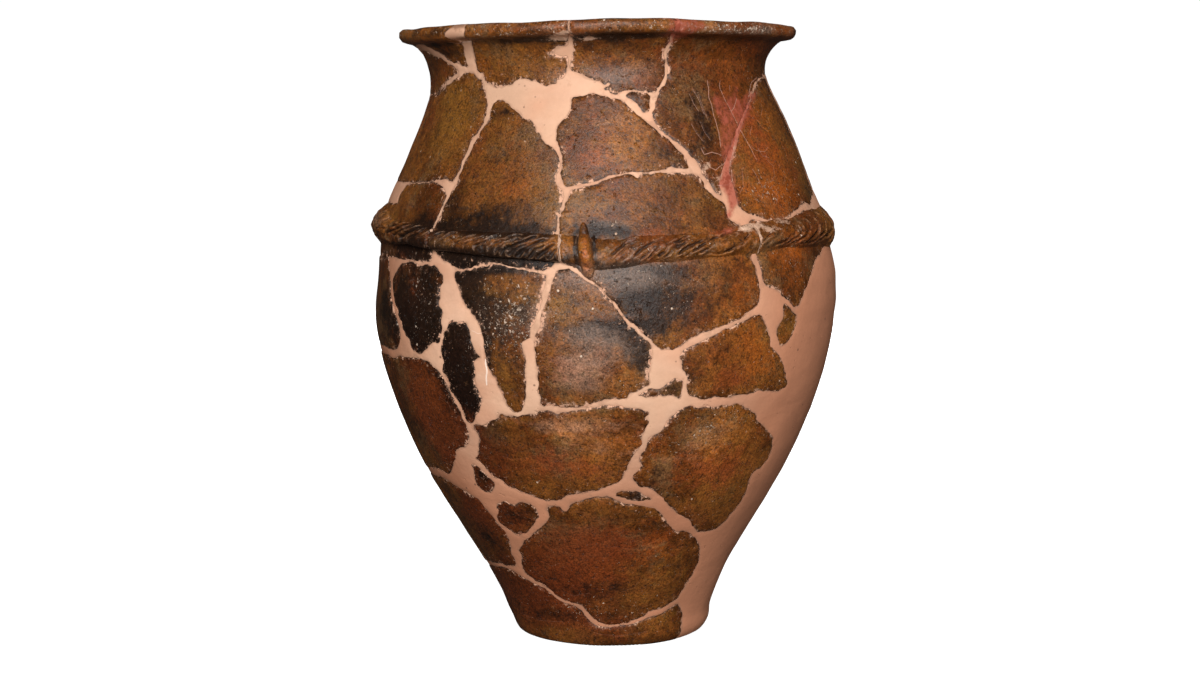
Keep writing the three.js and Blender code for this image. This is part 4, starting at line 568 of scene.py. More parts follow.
# pale scratches: strength, half width in mm, the line
SCRATCHES = [
    (0.9, 0.26, [(37.4, 246.1), (35.3, 238.4), (34.9, 230.7), (35, 223.8), (34.3, 217)]),
    (0.8, 0.24, [(43.2, 246.6), (41.3, 242.5), (41.8, 236), (43, 229.8), (44.4, 222.5), (46.5, 215.1), (47.6, 211.3)]),
    (0.6, 0.22, [(44.2, 209.4), (45.4, 206.1), (46.7, 200.3)]),
    (0.8, 0.24, [(47.6, 238.5), (45.9, 236), (42.4, 232.7)]),
    (0.6, 0.22, [(46.6, 243.8), (45.1, 240.5)]),
    (0.8, 0.26, [(54.8, 238.6), (51, 234), (45.8, 229), (42.8, 225.3), (40, 219.7), (37.5, 213.7), (35.9, 208.8)]),
    (0.6, 0.22, [(49.8, 226.9), (47.1, 222.4)]),
    (0.9, 0.24, [(36.4, 209.6), (36.1, 204.4), (33.9, 202.8), (30.5, 203)]),
    (0.5, 0.22, [(40.6, 210.7), (39.2, 202.2), (37.1, 198.7)]),
    (0.4, 0.22, [(54.2, 216.5), (50.7, 212.5)]),
    (0.9, 0.24, [(27.5, 218.3), (28.4, 215.4), (31.1, 216.2), (34.2, 214.5)]),
    (0.8, 0.24, [(29, 210.6), (31.3, 209), (34.3, 211.7), (35.7, 213.7)]),
    (0.9, 0.26, [(66, 247.6), (59, 244.1), (53.9, 238.1)]),
    (0.5, 0.22, [(43.8, 225.7), (45, 220), (46.1, 216.7)]),
    (0.55, 0.2, [(28, 240.2), (28.7, 236.2), (29.8, 232.2)]),
    (0.6, 0.2, [(29.9, 241.9), (31, 236.7), (31.6, 230.7)]),
    (0.5, 0.2, [(31.3, 240.3), (31.7, 233.9), (32.4, 228.2)]),
    (0.3, 0.2, [(26, 235.4), (27.1, 230.6), (28.4, 225.8)]),
    (0.5, 0.2, [(25.9, 228.2), (27.4, 223.4), (29.4, 219.8)]),
    (0.5, 0.2, [(29.1, 229), (29.9, 224.6), (31.5, 220.6)]),
    (0.3, 0.2, [(29.3, 237.1), (26.7, 232.2), (25.6, 228.2)]),
    (0.25, 0.2, [(33.1, 238.7), (29.7, 233), (27.7, 227.4)]),
    (0.4, 0.2, [(12.6, 163.4), (14.6, 164.9), (16.4, 162.5)]),
    (0.3, 0.2, [(-2.3, 50.1), (12.7, 48.3), (23.6, 49.3)]),
    (0.25, 0.2, [(-2.9, 35.6), (7.9, 33), (16.6, 35.5)]),
    (0.3, 0.2, [(21.3, 108.2), (26.9, 108.5), (35, 104.8)]),
    (0.25, 0.2, [(8.8, 99.5), (13.9, 101), (20.6, 98.6)]),
    (0.3, 0.2, [(7.8, 135.7), (10.5, 137.7), (12.8, 138)]),
    (0.5, 0.2, [(60.6, 237.4), (60.2, 234), (56.7, 230.6)]),
    (0.5, 0.2, [(60.4, 232.3), (60.9, 228.9), (59.6, 224.8)]),
    (0.6, 0.22, [(45.7, 219.6), (47.9, 216.7), (51.8, 215.7), (54.9, 218.2)]),
    (0.6, 0.22, [(48.9, 218.3), (50.3, 214.1), (54, 213.2)]),
    (0.5, 0.22, [(51.5, 213.3), (54, 210.3), (53.5, 206.1), (50.6, 203)]),
    (0.5, 0.2, [(57.1, 211), (58.4, 207.2), (57.4, 202.2)]),
    (0.45, 0.2, [(53.8, 229.8), (54.9, 226.5), (58.5, 223.9)]),
    (0.4, 0.2, [(41.5, 199.7), (42.9, 196.4), (46.3, 194.6)]),
    (0.5, 0.2, [(50.1, 200.1), (51.9, 197.5), (49.9, 193.9)]),
    (0.45, 0.2, [(63.3, 220.5), (64.5, 216.2), (64.5, 211.1)]),
    (0.35, 0.2, [(41.2, 206.6), (41.9, 202.9), (44, 200.4)]),
    (0.45, 0.2, [(30.7, 213.8), (29, 210.6), (27.4, 208.3)]),
    (0.45, 0.2, [(33.7, 208.1), (31.8, 205.7), (29.9, 203.8)]),
    (0.5, 0.2, [(-32.8, 144.2), (-30.5, 142.8), (-27.9, 144.3)]),
    (0.3, 0.2, [(-24.8, 138.8), (-22.9, 136.1), (-21.5, 132.1)]),
    (0.35, 0.2, [(-45.6, 114.4), (-43.1, 112.2), (-42.6, 108.4)]),
    (0.35, 0.22, [(-22.8, 27), (-15.9, 24.6), (-7.3, 27)]),
    (0.35, 0.22, [(-27.9, 41.4), (-23.2, 38.9), (-19.1, 40.8)]),
    (0.35, 0.22, [(5.8, 27.1), (12.3, 28.8), (14.7, 32.7)]),
    (0.3, 0.2, [(-30, 90.8), (-26.5, 89.1), (-20.9, 90.6)]),
    (0.3, 0.2, [(-11.8, 99.3), (-8, 97.7), (-4.5, 99.6)]),
    (0.3, 0.2, [(-1.4, 108.4), (2.5, 106.7), (5.5, 108.3)]),
    (0.3, 0.2, [(16.5, 85.6), (19.2, 80.7), (23.3, 78.5)]),
    (0.35, 0.22, [(-58.8, 11.1), (-41.5, 10.1), (-24, 11.2)]),
    (0.35, 0.22, [(-11.5, 7.3), (4.8, 5.5), (22.4, 7.5)]),
    (0.7, 0.55, [(-29, 133), (-29, 128.8), (-29.2, 124.6), (-29.4, 121.1)]),
    (0.7, 0.24, [(-6.6, 263.7), (-3.3, 262.6), (-1.3, 261.3)]),
    (0.7, 0.3, [(-12, 264.2), (-10, 262.7), (-8, 261.9)]),
    (0.6, 0.3, [(-50.8, 262.9), (-46, 262), (-39.9, 262.3)]),
]
# pink-red tinted filler
STAINS = [
    [(36.3, 238), (36.1, 232.3), (36.5, 228.2), (35.2, 223.8), (34.4, 217), (34, 210.9), (31.8, 206.3), (31, 203.3), (33, 198.6), (32.8, 194), (31.6, 189.7), (32.3, 188.4), (35.4, 193.5), (36.9, 196.3), (36.5, 201.5), (36.8, 206.4), (36.4, 209.6), (38.4, 214.4), (41.9, 220.9), (45.1, 225.7), (49.9, 230.6), (54.7, 235.6), (62.4, 241.6), (56.1, 240.7), (50, 238.1), (47.3, 237.8), (50.3, 241.8), (48.7, 243), (45.5, 239.3), (42, 238.4), (39.4, 239.6)],
    [(22.1, 261.6), (20.4, 264.2), (21.2, 267.7), (25.7, 268.8), (29.3, 268.6), (27.6, 265.3), (27.7, 263), (25.3, 261.7), (23.5, 259.3), (21.9, 258.8)],
    [(27.8, 183), (30.4, 185.3), (33.4, 186), (31.9, 183.6), (29.4, 182.6)],
    [(19, 262.5), (19.5, 270.5), (29, 270.5), (31, 266), (27, 263.5), (22, 262)],
]
# the cordon: its lower and upper edge, and the grooves that give it a twist (depth, half width, the line)
CORDON_LOW = [(-78.4, 177.5), (-67.2, 177.5), (-62.2, 177.2), (-50, 178.3), (-43.9, 176.6), (-37.7, 177.1), (-31.6, 176.8), (-27.8, 175.2), (-22.2, 175.1), (-15.3, 174.2), (-12, 173.9), (-8.9, 173.6), (-6.6, 172.9), (-3.6, 170.9), (-1, 171), (1.7, 171.4), (4.4, 171.7), (8.5, 173), (12.2, 174.1), (18.9, 174.9), (23.1, 175.5), (26.9, 174.9), (33, 175.7), (36.2, 175.8), (43.4, 176.5), (49.2, 177.6), (56.5, 176.7), (64, 176.7), (71, 177)]
CORDON_TOP = [(-84.8, 185.2), (-73.7, 186.2), (-65.7, 186.1), (-58.1, 185.9), (-50.3, 184.9), (-42.5, 183.9), (-33.1, 183.7), (-25.6, 183.3), (-19.4, 183.5), (-11.9, 183), (-8.7, 183), (-5.4, 182.7), (-0.9, 181.1), (3.7, 181.3), (8.4, 182.6), (14.3, 182.9), (21.4, 182.7), (26, 182.8), (28.8, 183.1), (37.1, 184.6), (44.1, 185.8), (52.3, 186.8), (57.4, 187.6), (67.5, 189.3), (84.9, 189.1)]
GROOVES = [
    (1.6, 0.55, [(-69.5, 181.5), (-63.3, 183.8), (-58.5, 185.9)]),
    (2, 0.6, [(-66.9, 179.2), (-60.9, 182.3), (-55.7, 185.3)]),
    (1.6, 0.5, [(-62.4, 178.4), (-57.5, 181.8), (-53.3, 184.7)]),
    (2.4, 0.65, [(-57.8, 178.5), (-53.9, 181.3), (-50.2, 184.5)]),
    (1.4, 0.45, [(-53.9, 178.4), (-50.5, 181.2), (-47.7, 183.9)]),
    (1, 0.4, [(-49.4, 179.3), (-46.6, 181.5), (-44, 184.2)]),
    (0.9, 0.38, [(-46.5, 177.9), (-43.6, 180.6), (-40.9, 183.6)]),
    (1.1, 0.4, [(-42.9, 177.4), (-39.9, 180.4), (-36.8, 183.5)]),
    (0.8, 0.36, [(-40, 177.6), (-37.4, 180.2), (-34.8, 182.4)]),
    (1.1, 0.4, [(-37.5, 177.4), (-34.4, 180.4), (-31.2, 182.8)]),
    (0.8, 0.36, [(-34.2, 177.2), (-31.3, 180.2), (-28.7, 182.4)]),
    (1.2, 0.42, [(-31.1, 177), (-28.5, 179.6), (-25, 182.6)]),
    (1.6, 0.46, [(-27.9, 176.6), (-24.9, 179.5), (-21.7, 181.9), (-19, 183.4)]),
    (0.9, 0.38, [(-25.8, 175.8), (-23.1, 178.5), (-20.4, 180.8), (-18.2, 182)]),
    (1.9, 0.5, [(-24.3, 175.4), (-20.8, 178.6), (-18, 180.9), (-15.1, 182.5)]),
    (1, 0.38, [(-22.6, 175.1), (-19.4, 177.9), (-16.7, 179.7)]),
    (2.1, 0.52, [(-20.8, 174.6), (-17.9, 177.7), (-15.1, 180.2), (-11.3, 182.2)]),
    (1.2, 0.4, [(-18.5, 174.3), (-15.6, 177), (-13.2, 178.9)]),
    (2, 0.5, [(-15.6, 174.3), (-13.3, 176.5), (-10.9, 179.5)]),
    (1, 0.4, [(-13.3, 174.1), (-11.9, 175.6), (-10.7, 177.5)]),
    (0.5, 0.42, [(-1.2, 174.9), (0.5, 177.5), (2, 179.4)]),
    (2.3, 0.5, [(0.8, 174.3), (2.5, 177.1), (4.9, 179.8), (8.3, 182.9)]),
    (0.7, 0.38, [(1.8, 173.8), (3.8, 176.5), (6.2, 179.2), (8.4, 181.5)]),
    (0.4, 0.34, [(3.1, 173), (5.3, 175.3), (7.3, 177.6)]),
    (1.9, 0.48, [(5.9, 174.5), (8.1, 177.2), (10.6, 179.7), (14.5, 182.4)]),
    (1, 0.36, [(7.6, 173.7), (9.6, 176), (11.6, 177.9)]),
    (1.3, 0.4, [(9.2, 173.8), (11.5, 176.7), (13.5, 178.8)]),
    (2.2, 0.52, [(11.3, 174.2), (13.8, 177), (16, 179.6), (18.5, 181.2), (21.6, 182.3)]),
    (1.4, 0.4, [(13.1, 174.1), (15.5, 177), (17.8, 179.1), (19.9, 180.2)]),
    (2, 0.9, [(15.2, 176.6), (16.5, 178.2), (17.3, 178.9)]),
    (2.1, 0.5, [(15.7, 174.4), (18.1, 176.9), (20.7, 179.2), (24, 181.2), (26.7, 182.5)]),
    (1.1, 0.38, [(17.8, 174.6), (20.2, 176.8), (22.6, 178.5)]),
    (1.7, 0.46, [(19.3, 175.7), (22.1, 178.3), (25.2, 180.6), (28.6, 182.4)]),
    (1.2, 0.4, [(21.2, 175), (24, 177.2), (26.8, 178.9), (29.4, 180.7)]),
    (2, 0.5, [(23, 175.7), (26.7, 175.1), (29.8, 176.3), (33.3, 178.5), (35.8, 181.5), (36.8, 183.9)]),
    (1.6, 0.5, [(27.7, 182), (32.1, 183.8), (36.1, 184.9)]),
    (1.2, 0.42, [(25, 177.4), (27.9, 179.2), (30.9, 181.4), (33.7, 182.9)]),
    (1.8, 0.8, [(36.5, 178.5), (37.9, 179.4)]),
    (1.3, 0.42, [(38.6, 178.5), (42.1, 181.1), (44.7, 183.7), (44.5, 185.8)]),
    (1, 0.38, [(40.7, 177.5), (44.3, 180.1), (47.5, 182.7)]),
    (1.2, 0.42, [(43.1, 176.5), (47.2, 178.6), (51.1, 181.2), (53.2, 183.9)]),
    (1.4, 0.44, [(46.3, 176.7), (51.2, 178.7), (54.7, 181.2), (55.8, 184.5), (54.2, 187.1)]),
    (1.8, 0.48, [(49.8, 176.8), (55.4, 179.1), (59.1, 182.1), (59.8, 185.4), (57.5, 188.1)]),
    (2, 0.5, [(53.5, 176.4), (59.3, 178.5), (63.6, 181.2), (65.2, 184.9), (63, 188.5)]),
    (2.1, 0.52, [(57.3, 176.4), (64, 178.7), (69.1, 181.1), (71.1, 185.2), (68.1, 189.3)]),
    (2, 0.55, [(62.6, 176.7), (70.2, 178.6), (76, 180.8), (79, 184.4), (75.8, 188.6)]),
]
CORDON_PATH = [(-180, 180.6), (-130, 181.2), (-78, 182.6), (-58, 181.6), (-42, 180.0), (-20, 178.4), (0, 177.6), (15, 177.2), (22, 178.0),
               (30, 180.2), (38, 182.2), (47, 183.4), (60, 183.0), (75, 181.2), (130, 179.8), (180, 180.6)]
STRIPS = [("cordon_left", -128.4, -45.5), ("cordon_front_left", -45.5, -10.2), ("cordon_front_short", -10.2, -7.0),
          ("cordon_front", -1.6, 39.1), ("cordon_right", 39.1, 128.6), ("cordon_back", 128.6, 231.6)]

# ---- where the cordon runs ----------------------------------------------------
def path_z(td):
    td = (td + 180) % 360 - 180
    xs = np.array([a for a, _ in CORDON_PATH]); ys = np.array([b for _, b in CORDON_PATH])
    k = np.clip(np.searchsorted(xs, td) - 1, 0, len(xs) - 2)
    return ys[k] + (ys[k + 1] - ys[k]) * smooth(0, 1, (td - xs[k]) / (xs[k + 1] - xs[k]))


def cordon_edges(td):
    """heights of the cordon's lower and upper edge"""
    td = (td + 180) % 360 - 180
    mid = path_z(td)
    lo = np.interp(td, [a for a, _ in CORDON_LOW], [b for _, b in CORDON_LOW]) - mid
    hi = np.interp(td, [a for a, _ in CORDON_TOP], [b for _, b in CORDON_TOP]) - mid
    w = 1 - smooth(66, 80, abs(td))
    lo = np.clip(lo, -7.5, -3.6) * w - 6.4 * (1 - w)
    hi = np.clip(hi, 3.6, 7.5) * w + np.where(td > 0, 8.2, 7.4) * (1 - w)
    return mid + lo, mid + hi




def swell_at(td, z):
    """how much the wall swells towards the cordon, above and below it"""
    lo, hi = cordon_edges(td)
    v = (z - lo) / (hi - lo)
    up = pchip(v, [.3, .75, 1.0, 1.25, 1.6, 2.0, 2.5], [1.2, 1.2, 1.15, .72, .30, .08, 0])
    return up * smooth(.2, .5, v)


# ---- flat layout of the wall ------------------------------------------------
DEG = math.pi / 180


def densify(poly, step):
    """closed outline (degrees, s) with a point at least every step mm"""
    out = []
    n = len(poly)
    for k in range(n):
        a, b = poly[k], poly[(k + 1) % n]
        r = float(radius(np.clip((a[1] + b[1]) / 2, 0, S_TOP)))
        length = math.hypot((b[0] - a[0]) * DEG * max(r, 38), b[1] - a[1])
        m = max(1, int(math.ceil(length / step)))
        for j in range(m):
            out.append((a[0] + (b[0] - a[0]) * j / m, a[1] + (b[1] - a[1]) * j / m))
    return np.array(out)


def rounded(poly):
    """a little corner cutting, so that traced corners read as broken clay and not as a polygon"""
    p = np.asarray(poly)
    return np.concatenate([[.78 * a + .22 * b, .22 * a + .78 * b] for a, b in zip(p, np.roll(p, -1, 0))])


def jag(ts, seed):
    """moves outline points by a noise that all outlines share, so joints keep their width, and by a finer one of its own"""
    th, s = ts[:, 0] * DEG, ts[:, 1]
    p = outer(th, np.clip(s, 0, S_TOP))
    r = radius(np.clip(s, 0, S_TOP))
    inside = smooth(0, 4, s) * smooth(0, 4, S_TOP - s)
    du = .42 * vnoise(p, 5.5, 3) + .30 * vnoise(p, 2.6, 4) + .22 * vnoise(p, 1.5, 5)
    ds = .42 * vnoise(p, 5.5, 13) + .30 * vnoise(p, 2.6, 14) + .22 * vnoise(p, 1.5, 15)
    du = du + .17 * vnoise(p, 2.1, seed) + .15 * vnoise(p, 1.1, seed + 1)
    ds = ds + .17 * vnoise(p, 2.1, seed + 2) + .15 * vnoise(p, 1.1, seed + 3)
    return np.stack([ts[:, 0] + inside * du / r / DEG, np.clip(s + inside * ds, 0, S_TOP)], -1)


def tidy(ts, least=.22):
    r = radius(ts[:, 1])
    keep = [0]
    for k in range(1, len(ts)):
        a, b = ts[keep[-1]], ts[k]
        if math.hypot((b[0] - a[0]) * DEG * r[k], b[1] - a[1]) > least:
            keep.append(k)
    a, b = ts[keep[-1]], ts[0]
    if len(keep) > 3 and math.hypot((b[0] - a[0]) * DEG * r[0], b[1] - a[1]) <= least:
        keep.pop()
    return ts[keep]


def area(ts):
    x, y = ts[:, 0], ts[:, 1]
    return .5 * float(np.sum(x * np.roll(y, -1) - np.roll(x, -1) * y))


LO, HI = -72.0, 288.0
verts, faces, labels = [], [], []


def add_face(ts, label):
    if area(ts) < 0:
        ts = ts[::-1]
    i = len(verts)
    verts.extend((t * DEG * UREF, s) for t, s in ts)
    faces.append(list(range(i, i + len(ts)))); labels.append(label)


outlines = {}
for name, zs in SHERDS.items():
    p = np.array([(t, float(s_of_z(z))) for t, z in zs])
    c = p[:, 0].mean()
    back = abs((c + 180) % 360 - 180) > 100
    p = rounded(densify(rounded(p), 2.0))
    p = densify(p, 1.5 if back else .6)
    p[:, 1] = np.clip(p[:, 1], 0, S_TOP)
    p = tidy(jag(tidy(p), 200 + 7 * len(outlines)))
    outlines[name] = p
for name, p in outlines.items():
    for turn in (-360, 0, 360):
        q = p + [turn, 0]
        if q[:, 0].max() > LO and q[:, 0].min() < HI:
            add_face(q, name)
n_sherd_faces = len(faces)
for name, zs in PATCHES:
    q = densify([(t, float(np.clip(s_of_z(z), 0, S_TOP))) for t, z in zs], 2.0)
    add_face(tidy(q), name)
edge_pts = np.concatenate([p for p in outlines.values()])

# scratches: a centre line and a line on each side
extra_edges = []
scratch_lines = []
for strength, half, pts in SCRATCHES:
    p = np.array([(t, float(s_of_z(z))) for t, z in pts])
    q = []
    for a, b in zip(p[:-1], p[1:]):
        m = max(1, int(math.hypot((b[0] - a[0]) * DEG * 85, b[1] - a[1]) / .9))
        q += [a + (b - a) * j / m for j in range(m)]
    q = np.array(q + [p[-1]])
    r = radius(q[:, 1])
    P3 = outer(q[:, 0] * DEG, q[:, 1])
    q = q + np.stack([.3 * vnoise(P3, 3, 31) / r / DEG, .3 * vnoise(P3, 3, 32)], -1)
    d = np.gradient(q, axis=0); du, dv = d[:, 0] * DEG * r, d[:, 1]
    l = np.hypot(du, dv) + 1e-9
    off = np.stack([-dv / l / r / DEG, du / l], -1) * half
    for k, side in ((0, 0), (1, 1), (2, -1)):
        line = q + side * off * (1 if k else 0)
        i = len(verts)
        verts.extend((t * DEG * UREF, s) for t, s in line)
        extra_edges += [(j, j + 1) for j in range(i, i + len(line) - 1)]
    scratch_lines.append((strength, half, q))

# points inside: a ring either side of each broken edge, and a close net elsewhere
tree = kdtree.KDTree(len(edge_pts))
E3 = outer(edge_pts[:, 0] * DEG, edge_pts[:, 1])
for k, p in enumerate(E3):
    tree.insert(p, k)
tree.balance()


def far_from_edges(ts):
    P = outer(ts[:, 0] * DEG, ts[:, 1])
    return np.array([tree.find(p)[2] for p in P])


rings = []
for p in outlines.values():
    r = radius(p[:, 1])
    d = np.roll(p, -1, 0) - np.roll(p, 1, 0)
    du, dv = d[:, 0] * DEG * r, d[:, 1]
    l = np.hypot(du, dv) + 1e-9
    nrm = np.stack([-dv / l / r / DEG, du / l], -1)
    for dist in (.55, -.55, 1.3):
        q = (p + nrm * dist * (1 if area(p) > 0 else -1))
        q = q[::2] if abs(dist) > 1 else q
        rings.append(q)
rings = np.concatenate(rings)
rings = rings[(rings[:, 1] > .3) & (rings[:, 1] < S_TOP - .3)]
rings = rings[far_from_edges(rings) > .42]


def net(lo, hi, h):
    out = []
    for k, s in enumerate(np.arange(h * .4, S_TOP - h * .3, h * .866)):
        dt = h / max(float(radius(s)), 30) / DEG
        t = np.arange(lo + dt * (.3 + .5 * (k % 2)), hi, dt)
        out.append(np.column_stack([t, np.full(len(t), s)]))
    return np.concatenate(out)


hexes = np.concatenate([net(LO, 104, 1.75), net(104, HI, 2.5)])
hexes = hexes[(hexes[:, 0] > LO + .4) & (hexes[:, 0] < HI - .4)]
D = far_from_edges(hexes)
hexes = hexes[D > 1.15]
rings[:, 0] = (rings[:, 0] - LO) % 360 + LO
rings = rings[(rings[:, 0] > LO + .3) & (rings[:, 0] < HI - .3)]
# thin the rings where two of them meet
rt = kdtree.KDTree(len(rings)); R3 = outer(rings[:, 0] * DEG, rings[:, 1])
for k, p in enumerate(R3):
    rt.insert(p, k)
rt.balance()
alive = np.ones(len(rings), bool)
for k, p in enumerate(R3):
    if alive[k]:
        for _, j, _ in rt.find_range(p, .40):
            if j > k:
                alive[j] = False
rings = rings[alive]
verts.extend((t * DEG * UREF, s) for t, s in rings)
verts.extend((t * DEG * UREF, s) for t, s in hexes)

cv, ce, cf, _, _, _ = delaunay_2d_cdt([Vector(v) for v in verts], extra_edges, faces, 0, 1e-5, False)
V = np.array([(v.x / UREF / DEG, min(max(v.y, 0.0), S_TOP)) for v in cv])
order = {n: k for k, n in enumerate(outlines)}
patch_names = []
for n, _ in PATCHES:
    if n not in patch_names:
        patch_names.append(n)
patch_id = {n: len(order) + k for k, n in enumerate(patch_names)}
F = np.array([f for f in cf if len(f) == 3])
MID = V[F].mean(1)
ids = np.full(len(F), -1)
inside_layout = (MID[:, 0] > LO) & (MID[:, 0] < HI)


def within(pts, poly):
    """which points lie inside an outline"""
    x, y = pts[:, 0], pts[:, 1]
    hit = np.zeros(len(pts), bool)
    for a, b in zip(poly, np.roll(poly, -1, 0)):
        if a[1] == b[1]:
            continue
        up = (a[1] > y) != (b[1] > y)
        hit ^= up & (x < a[0] + (y - a[1]) * (b[0] - a[0]) / (b[1] - a[1]))
    return hit


for i, lab in enumerate(labels):
    poly = np.array([(verts[k][0] / UREF / DEG, verts[k][1]) for k in faces[i]])
    lo_, hi_ = poly.min(0), poly.max(0)
    k = np.nonzero((ids < 0) & inside_layout & (MID[:, 0] > lo_[0]) & (MID[:, 0] < hi_[0]) & (MID[:, 1] > lo_[1]) & (MID[:, 1] < hi_[1]))[0]
    k = k[within(MID[k], poly)]
    ids[k] = order[lab] if lab in order else patch_id[lab]
F, ids = F[ids >= 0], ids[ids >= 0]
# drop slivers, and sew the two ends of the layout together
A = .5 * ((V[F[:, 1], 0] - V[F[:, 0], 0]) * (V[F[:, 2], 1] - V[F[:, 0], 1]) - (V[F[:, 2], 0] - V[F[:, 0], 0]) * (V[F[:, 1], 1] - V[F[:, 0], 1]))
F[A < 0] = F[A < 0][:, ::-1]
left = np.nonzero(V[:, 0] < LO + 1e-3)[0]; right = np.nonzero(V[:, 0] > HI - 1e-3)[0]
remap = np.arange(len(V))
ls = V[left, 1]
for j in right:
    k = int(np.argmin(abs(ls - V[j, 1])))
    if abs(ls[k] - V[j, 1]) < .05:
        remap[j] = left[k]
F = remap[F]
ok = (F[:, 0] != F[:, 1]) & (F[:, 1] != F[:, 2]) & (F[:, 0] != F[:, 2])
F, ids = F[ok], ids[ok]
TH, SS = V[:, 0] * DEG, V[:, 1]
P0 = outer(TH, SS)
EDGE = far_from_edges(V)
HT = np.interp(SS, _ss, _oz)
print("wall", len(V), "points", len(F), "triangles")


# ---- fields over the wall ----------------------------------------------------
def tones(th_deg, z):
    """the seven tones at places of the wall, painted sheen, light and shade among them"""
    out = {k: np.zeros(len(z)) for k in "KOLRGSMBZPD"}
    th_deg = (th_deg + 180) % 360 - 180
    for kind, t, zz, rx, ry, rot, s in TONES:
        dt = (th_deg - t + 180) % 360 - 180
        r = np.interp(s_of_z(np.clip(z, 0, 269)), _ss, _or)
        x, y = dt * DEG * r, z - zz
        c, q = math.cos(rot * DEG), math.sin(rot * DEG)
        d = ((c * x + q * y) / max(rx, 1)) ** 2 + ((-q * x + c * y) / max(ry, 1)) ** 2
        out[kind] += s * np.exp(-d * .9)
    calm = smooth(176, 150, abs(th_deg))
    # dark line along the crease under the lip: painted shade of the crease, mottled by noise
    crease_shade = np.exp(-((z - 262.3) / .85) ** 2) * (1 - .45 * smooth(8, 26, th_deg)) * (1 - .3 * smooth(-30, -50, th_deg))
    out["K"] += crease_shade * (.45 + .8 * calm * vnoise(np.stack([th_deg * 1.5, z * 0, z * 0], -1), 6, 63)); out["B"] -= .30 * crease_shade
    # the lip band is lighter and glossier: painted light and painted sheen, over mottling of its own
    lip = smooth(263.4, 265.2, z)
    q = np.stack([th_deg * 1.5, z * 2, z * 0], -1)
    out["B"] += .30 * lip + .35 * calm * lip * fbm(q, 9, 2, 64); out["K"] *= 1 - .3 * lip
    out["K"] += calm * lip * .42 * smooth(.05, .45, fbm(q, 11, 2, 65)); out["G"] += calm * lip * .5 * smooth(.0, .4, fbm(q, 8, 2, 66)); out["S"] += lip * .35
    # away from the front the same kinds of cloud, placed by noise, the painted sheen (G) among them
    p = outer(th_deg * DEG, s_of_z(np.clip(z, 0, 269)))
    b = smooth(72, 92, abs(th_deg))
    out["K"] += b * .62 * smooth(-.05, .55, fbm(p, 52, 4, 51)); out["O"] += b * .45 * smooth(-.05, .45, fbm(p, 50, 3, 52))
    out["R"] += b * .7 * smooth(.1, .4, fbm(p, 46, 2, 53)); out["L"] += b * .6 * smooth(.0, .4, fbm(p, 38, 2, 54))
    out["G"] += b * .6 * smooth(.0, .4, fbm(p, 34, 3, 55)); out["S"] += b * .4 * smooth(.2, .5, fbm(p, 30, 2, 56))
    out["M"] += b * .6 * smooth(.2, .5, fbm(p, 26, 2, 57)); out["B"] += b * .45 * fbm(p, 32, 2, 58)
    return out


def inside_distance(th_deg, z, poly):
    """signed distance in mm to an outline, positive inside"""
    x = th_deg * DEG * 85; px = np.array([(a * DEG * 85, b) for a, b in poly])
    best = np.full(len(x), 1e9); cross = np.zeros(len(x), int)
    for a, b in zip(px, np.roll(px, -1, 0)):
        ab = b - a
        t = np.clip(((x - a[0]) * ab[0] + (z - a[1]) * ab[1]) / (ab @ ab + 1e-9), 0, 1)
        best = np.minimum(best, np.hypot(x - a[0] - t * ab[0], z - a[1] - t * ab[1]))
        up = (a[1] > z) != (b[1] > z)
        xi = a[0] + (z - a[1]) * ab[0] / (ab[1] if abs(ab[1]) > 1e-9 else 1e-9)
        cross += (up & (x < xi)).astype(int)
    return np.where(cross % 2 == 1, best, -best)


def stain_at(th_deg, z):
    d = np.full(len(z), -30.0)
    for poly in STAINS:
        d = np.maximum(d, inside_distance(th_deg, z, poly))
    return d


def line_distance(x, y, pts):
    """distance to a line and the share of its length reached"""
    best = np.full(len(x), 1e9); share = np.zeros(len(x))
    seg = np.hypot(*(pts[1:] - pts[:-1]).T); total = seg.sum(); run = 0
    for a, b, l in zip(pts[:-1], pts[1:], seg):
        ab = b - a
        t = np.clip(((x - a[0]) * ab[0] + (y - a[1]) * ab[1]) / (ab @ ab + 1e-12), 0, 1)
        d = np.hypot(x - a[0] - t * ab[0], y - a[1] - t * ab[1])
        near = d < best
        best = np.where(near, d, best); share = np.where(near, (run + t * l) / total, share)
        run += l
    return best, share


thd = (V[:, 0] + 180) % 360 - 180
TONE = tones(V[:, 0], HT)
# lighter or darker filler: random variation, lighter on the front left below the shoulder, and darker round the right
# flank below the shoulder, which is painted shade
PLASTER_TONE_AND_SHADE = .22 * fbm(P0, 26, 2, 59) - .06 + .12 * smooth(-8, -22, thd) * smooth(-62, -44, thd) * smooth(205, 180, HT) - .42 * smooth(48, 82, thd) * smooth(215, 150, HT) * smooth(150, 100, thd)
STAIN = stain_at(thd, HT)
SCR = np.zeros(len(V))
for strength, half, q in scratch_lines:
    box = (abs(thd - q[:, 0].mean()) < np.ptp(q[:, 0]) + 3) & (abs(SS - q[:, 1].mean()) < np.ptp(q[:, 1]) + 3)
    k = np.nonzero(box)[0]
    pts = np.column_stack([q[:, 0] * DEG * 85, q[:, 1]])
    d, sh = line_distance(thd[k] * DEG * 85, SS[k], pts)
    SCR[k] = np.maximum(SCR[k], strength * (1 - np.clip(d / half, 0, 1)) * smooth(0, .08, sh) * smooth(0, .08, 1 - sh))

low_relief = .55 * fbm(P0, 60, 2, 1) + .30 * fbm(P0, 22, 2, 2)
low_relief *= 1 - .6 * smooth(255, 266, HT)
SWELL = swell_at(thd, HT)
fine_relief = .16 * fbm(P0, 8, 2, 8)
chips = smooth(.18, .55, fbm(P0, 4.2, 2, 9))
in_relief = .7 * fbm(P0, 40, 2, 21) + .25 * fbm(P0 * [1, 1, 2.2], 14, 2, 22)


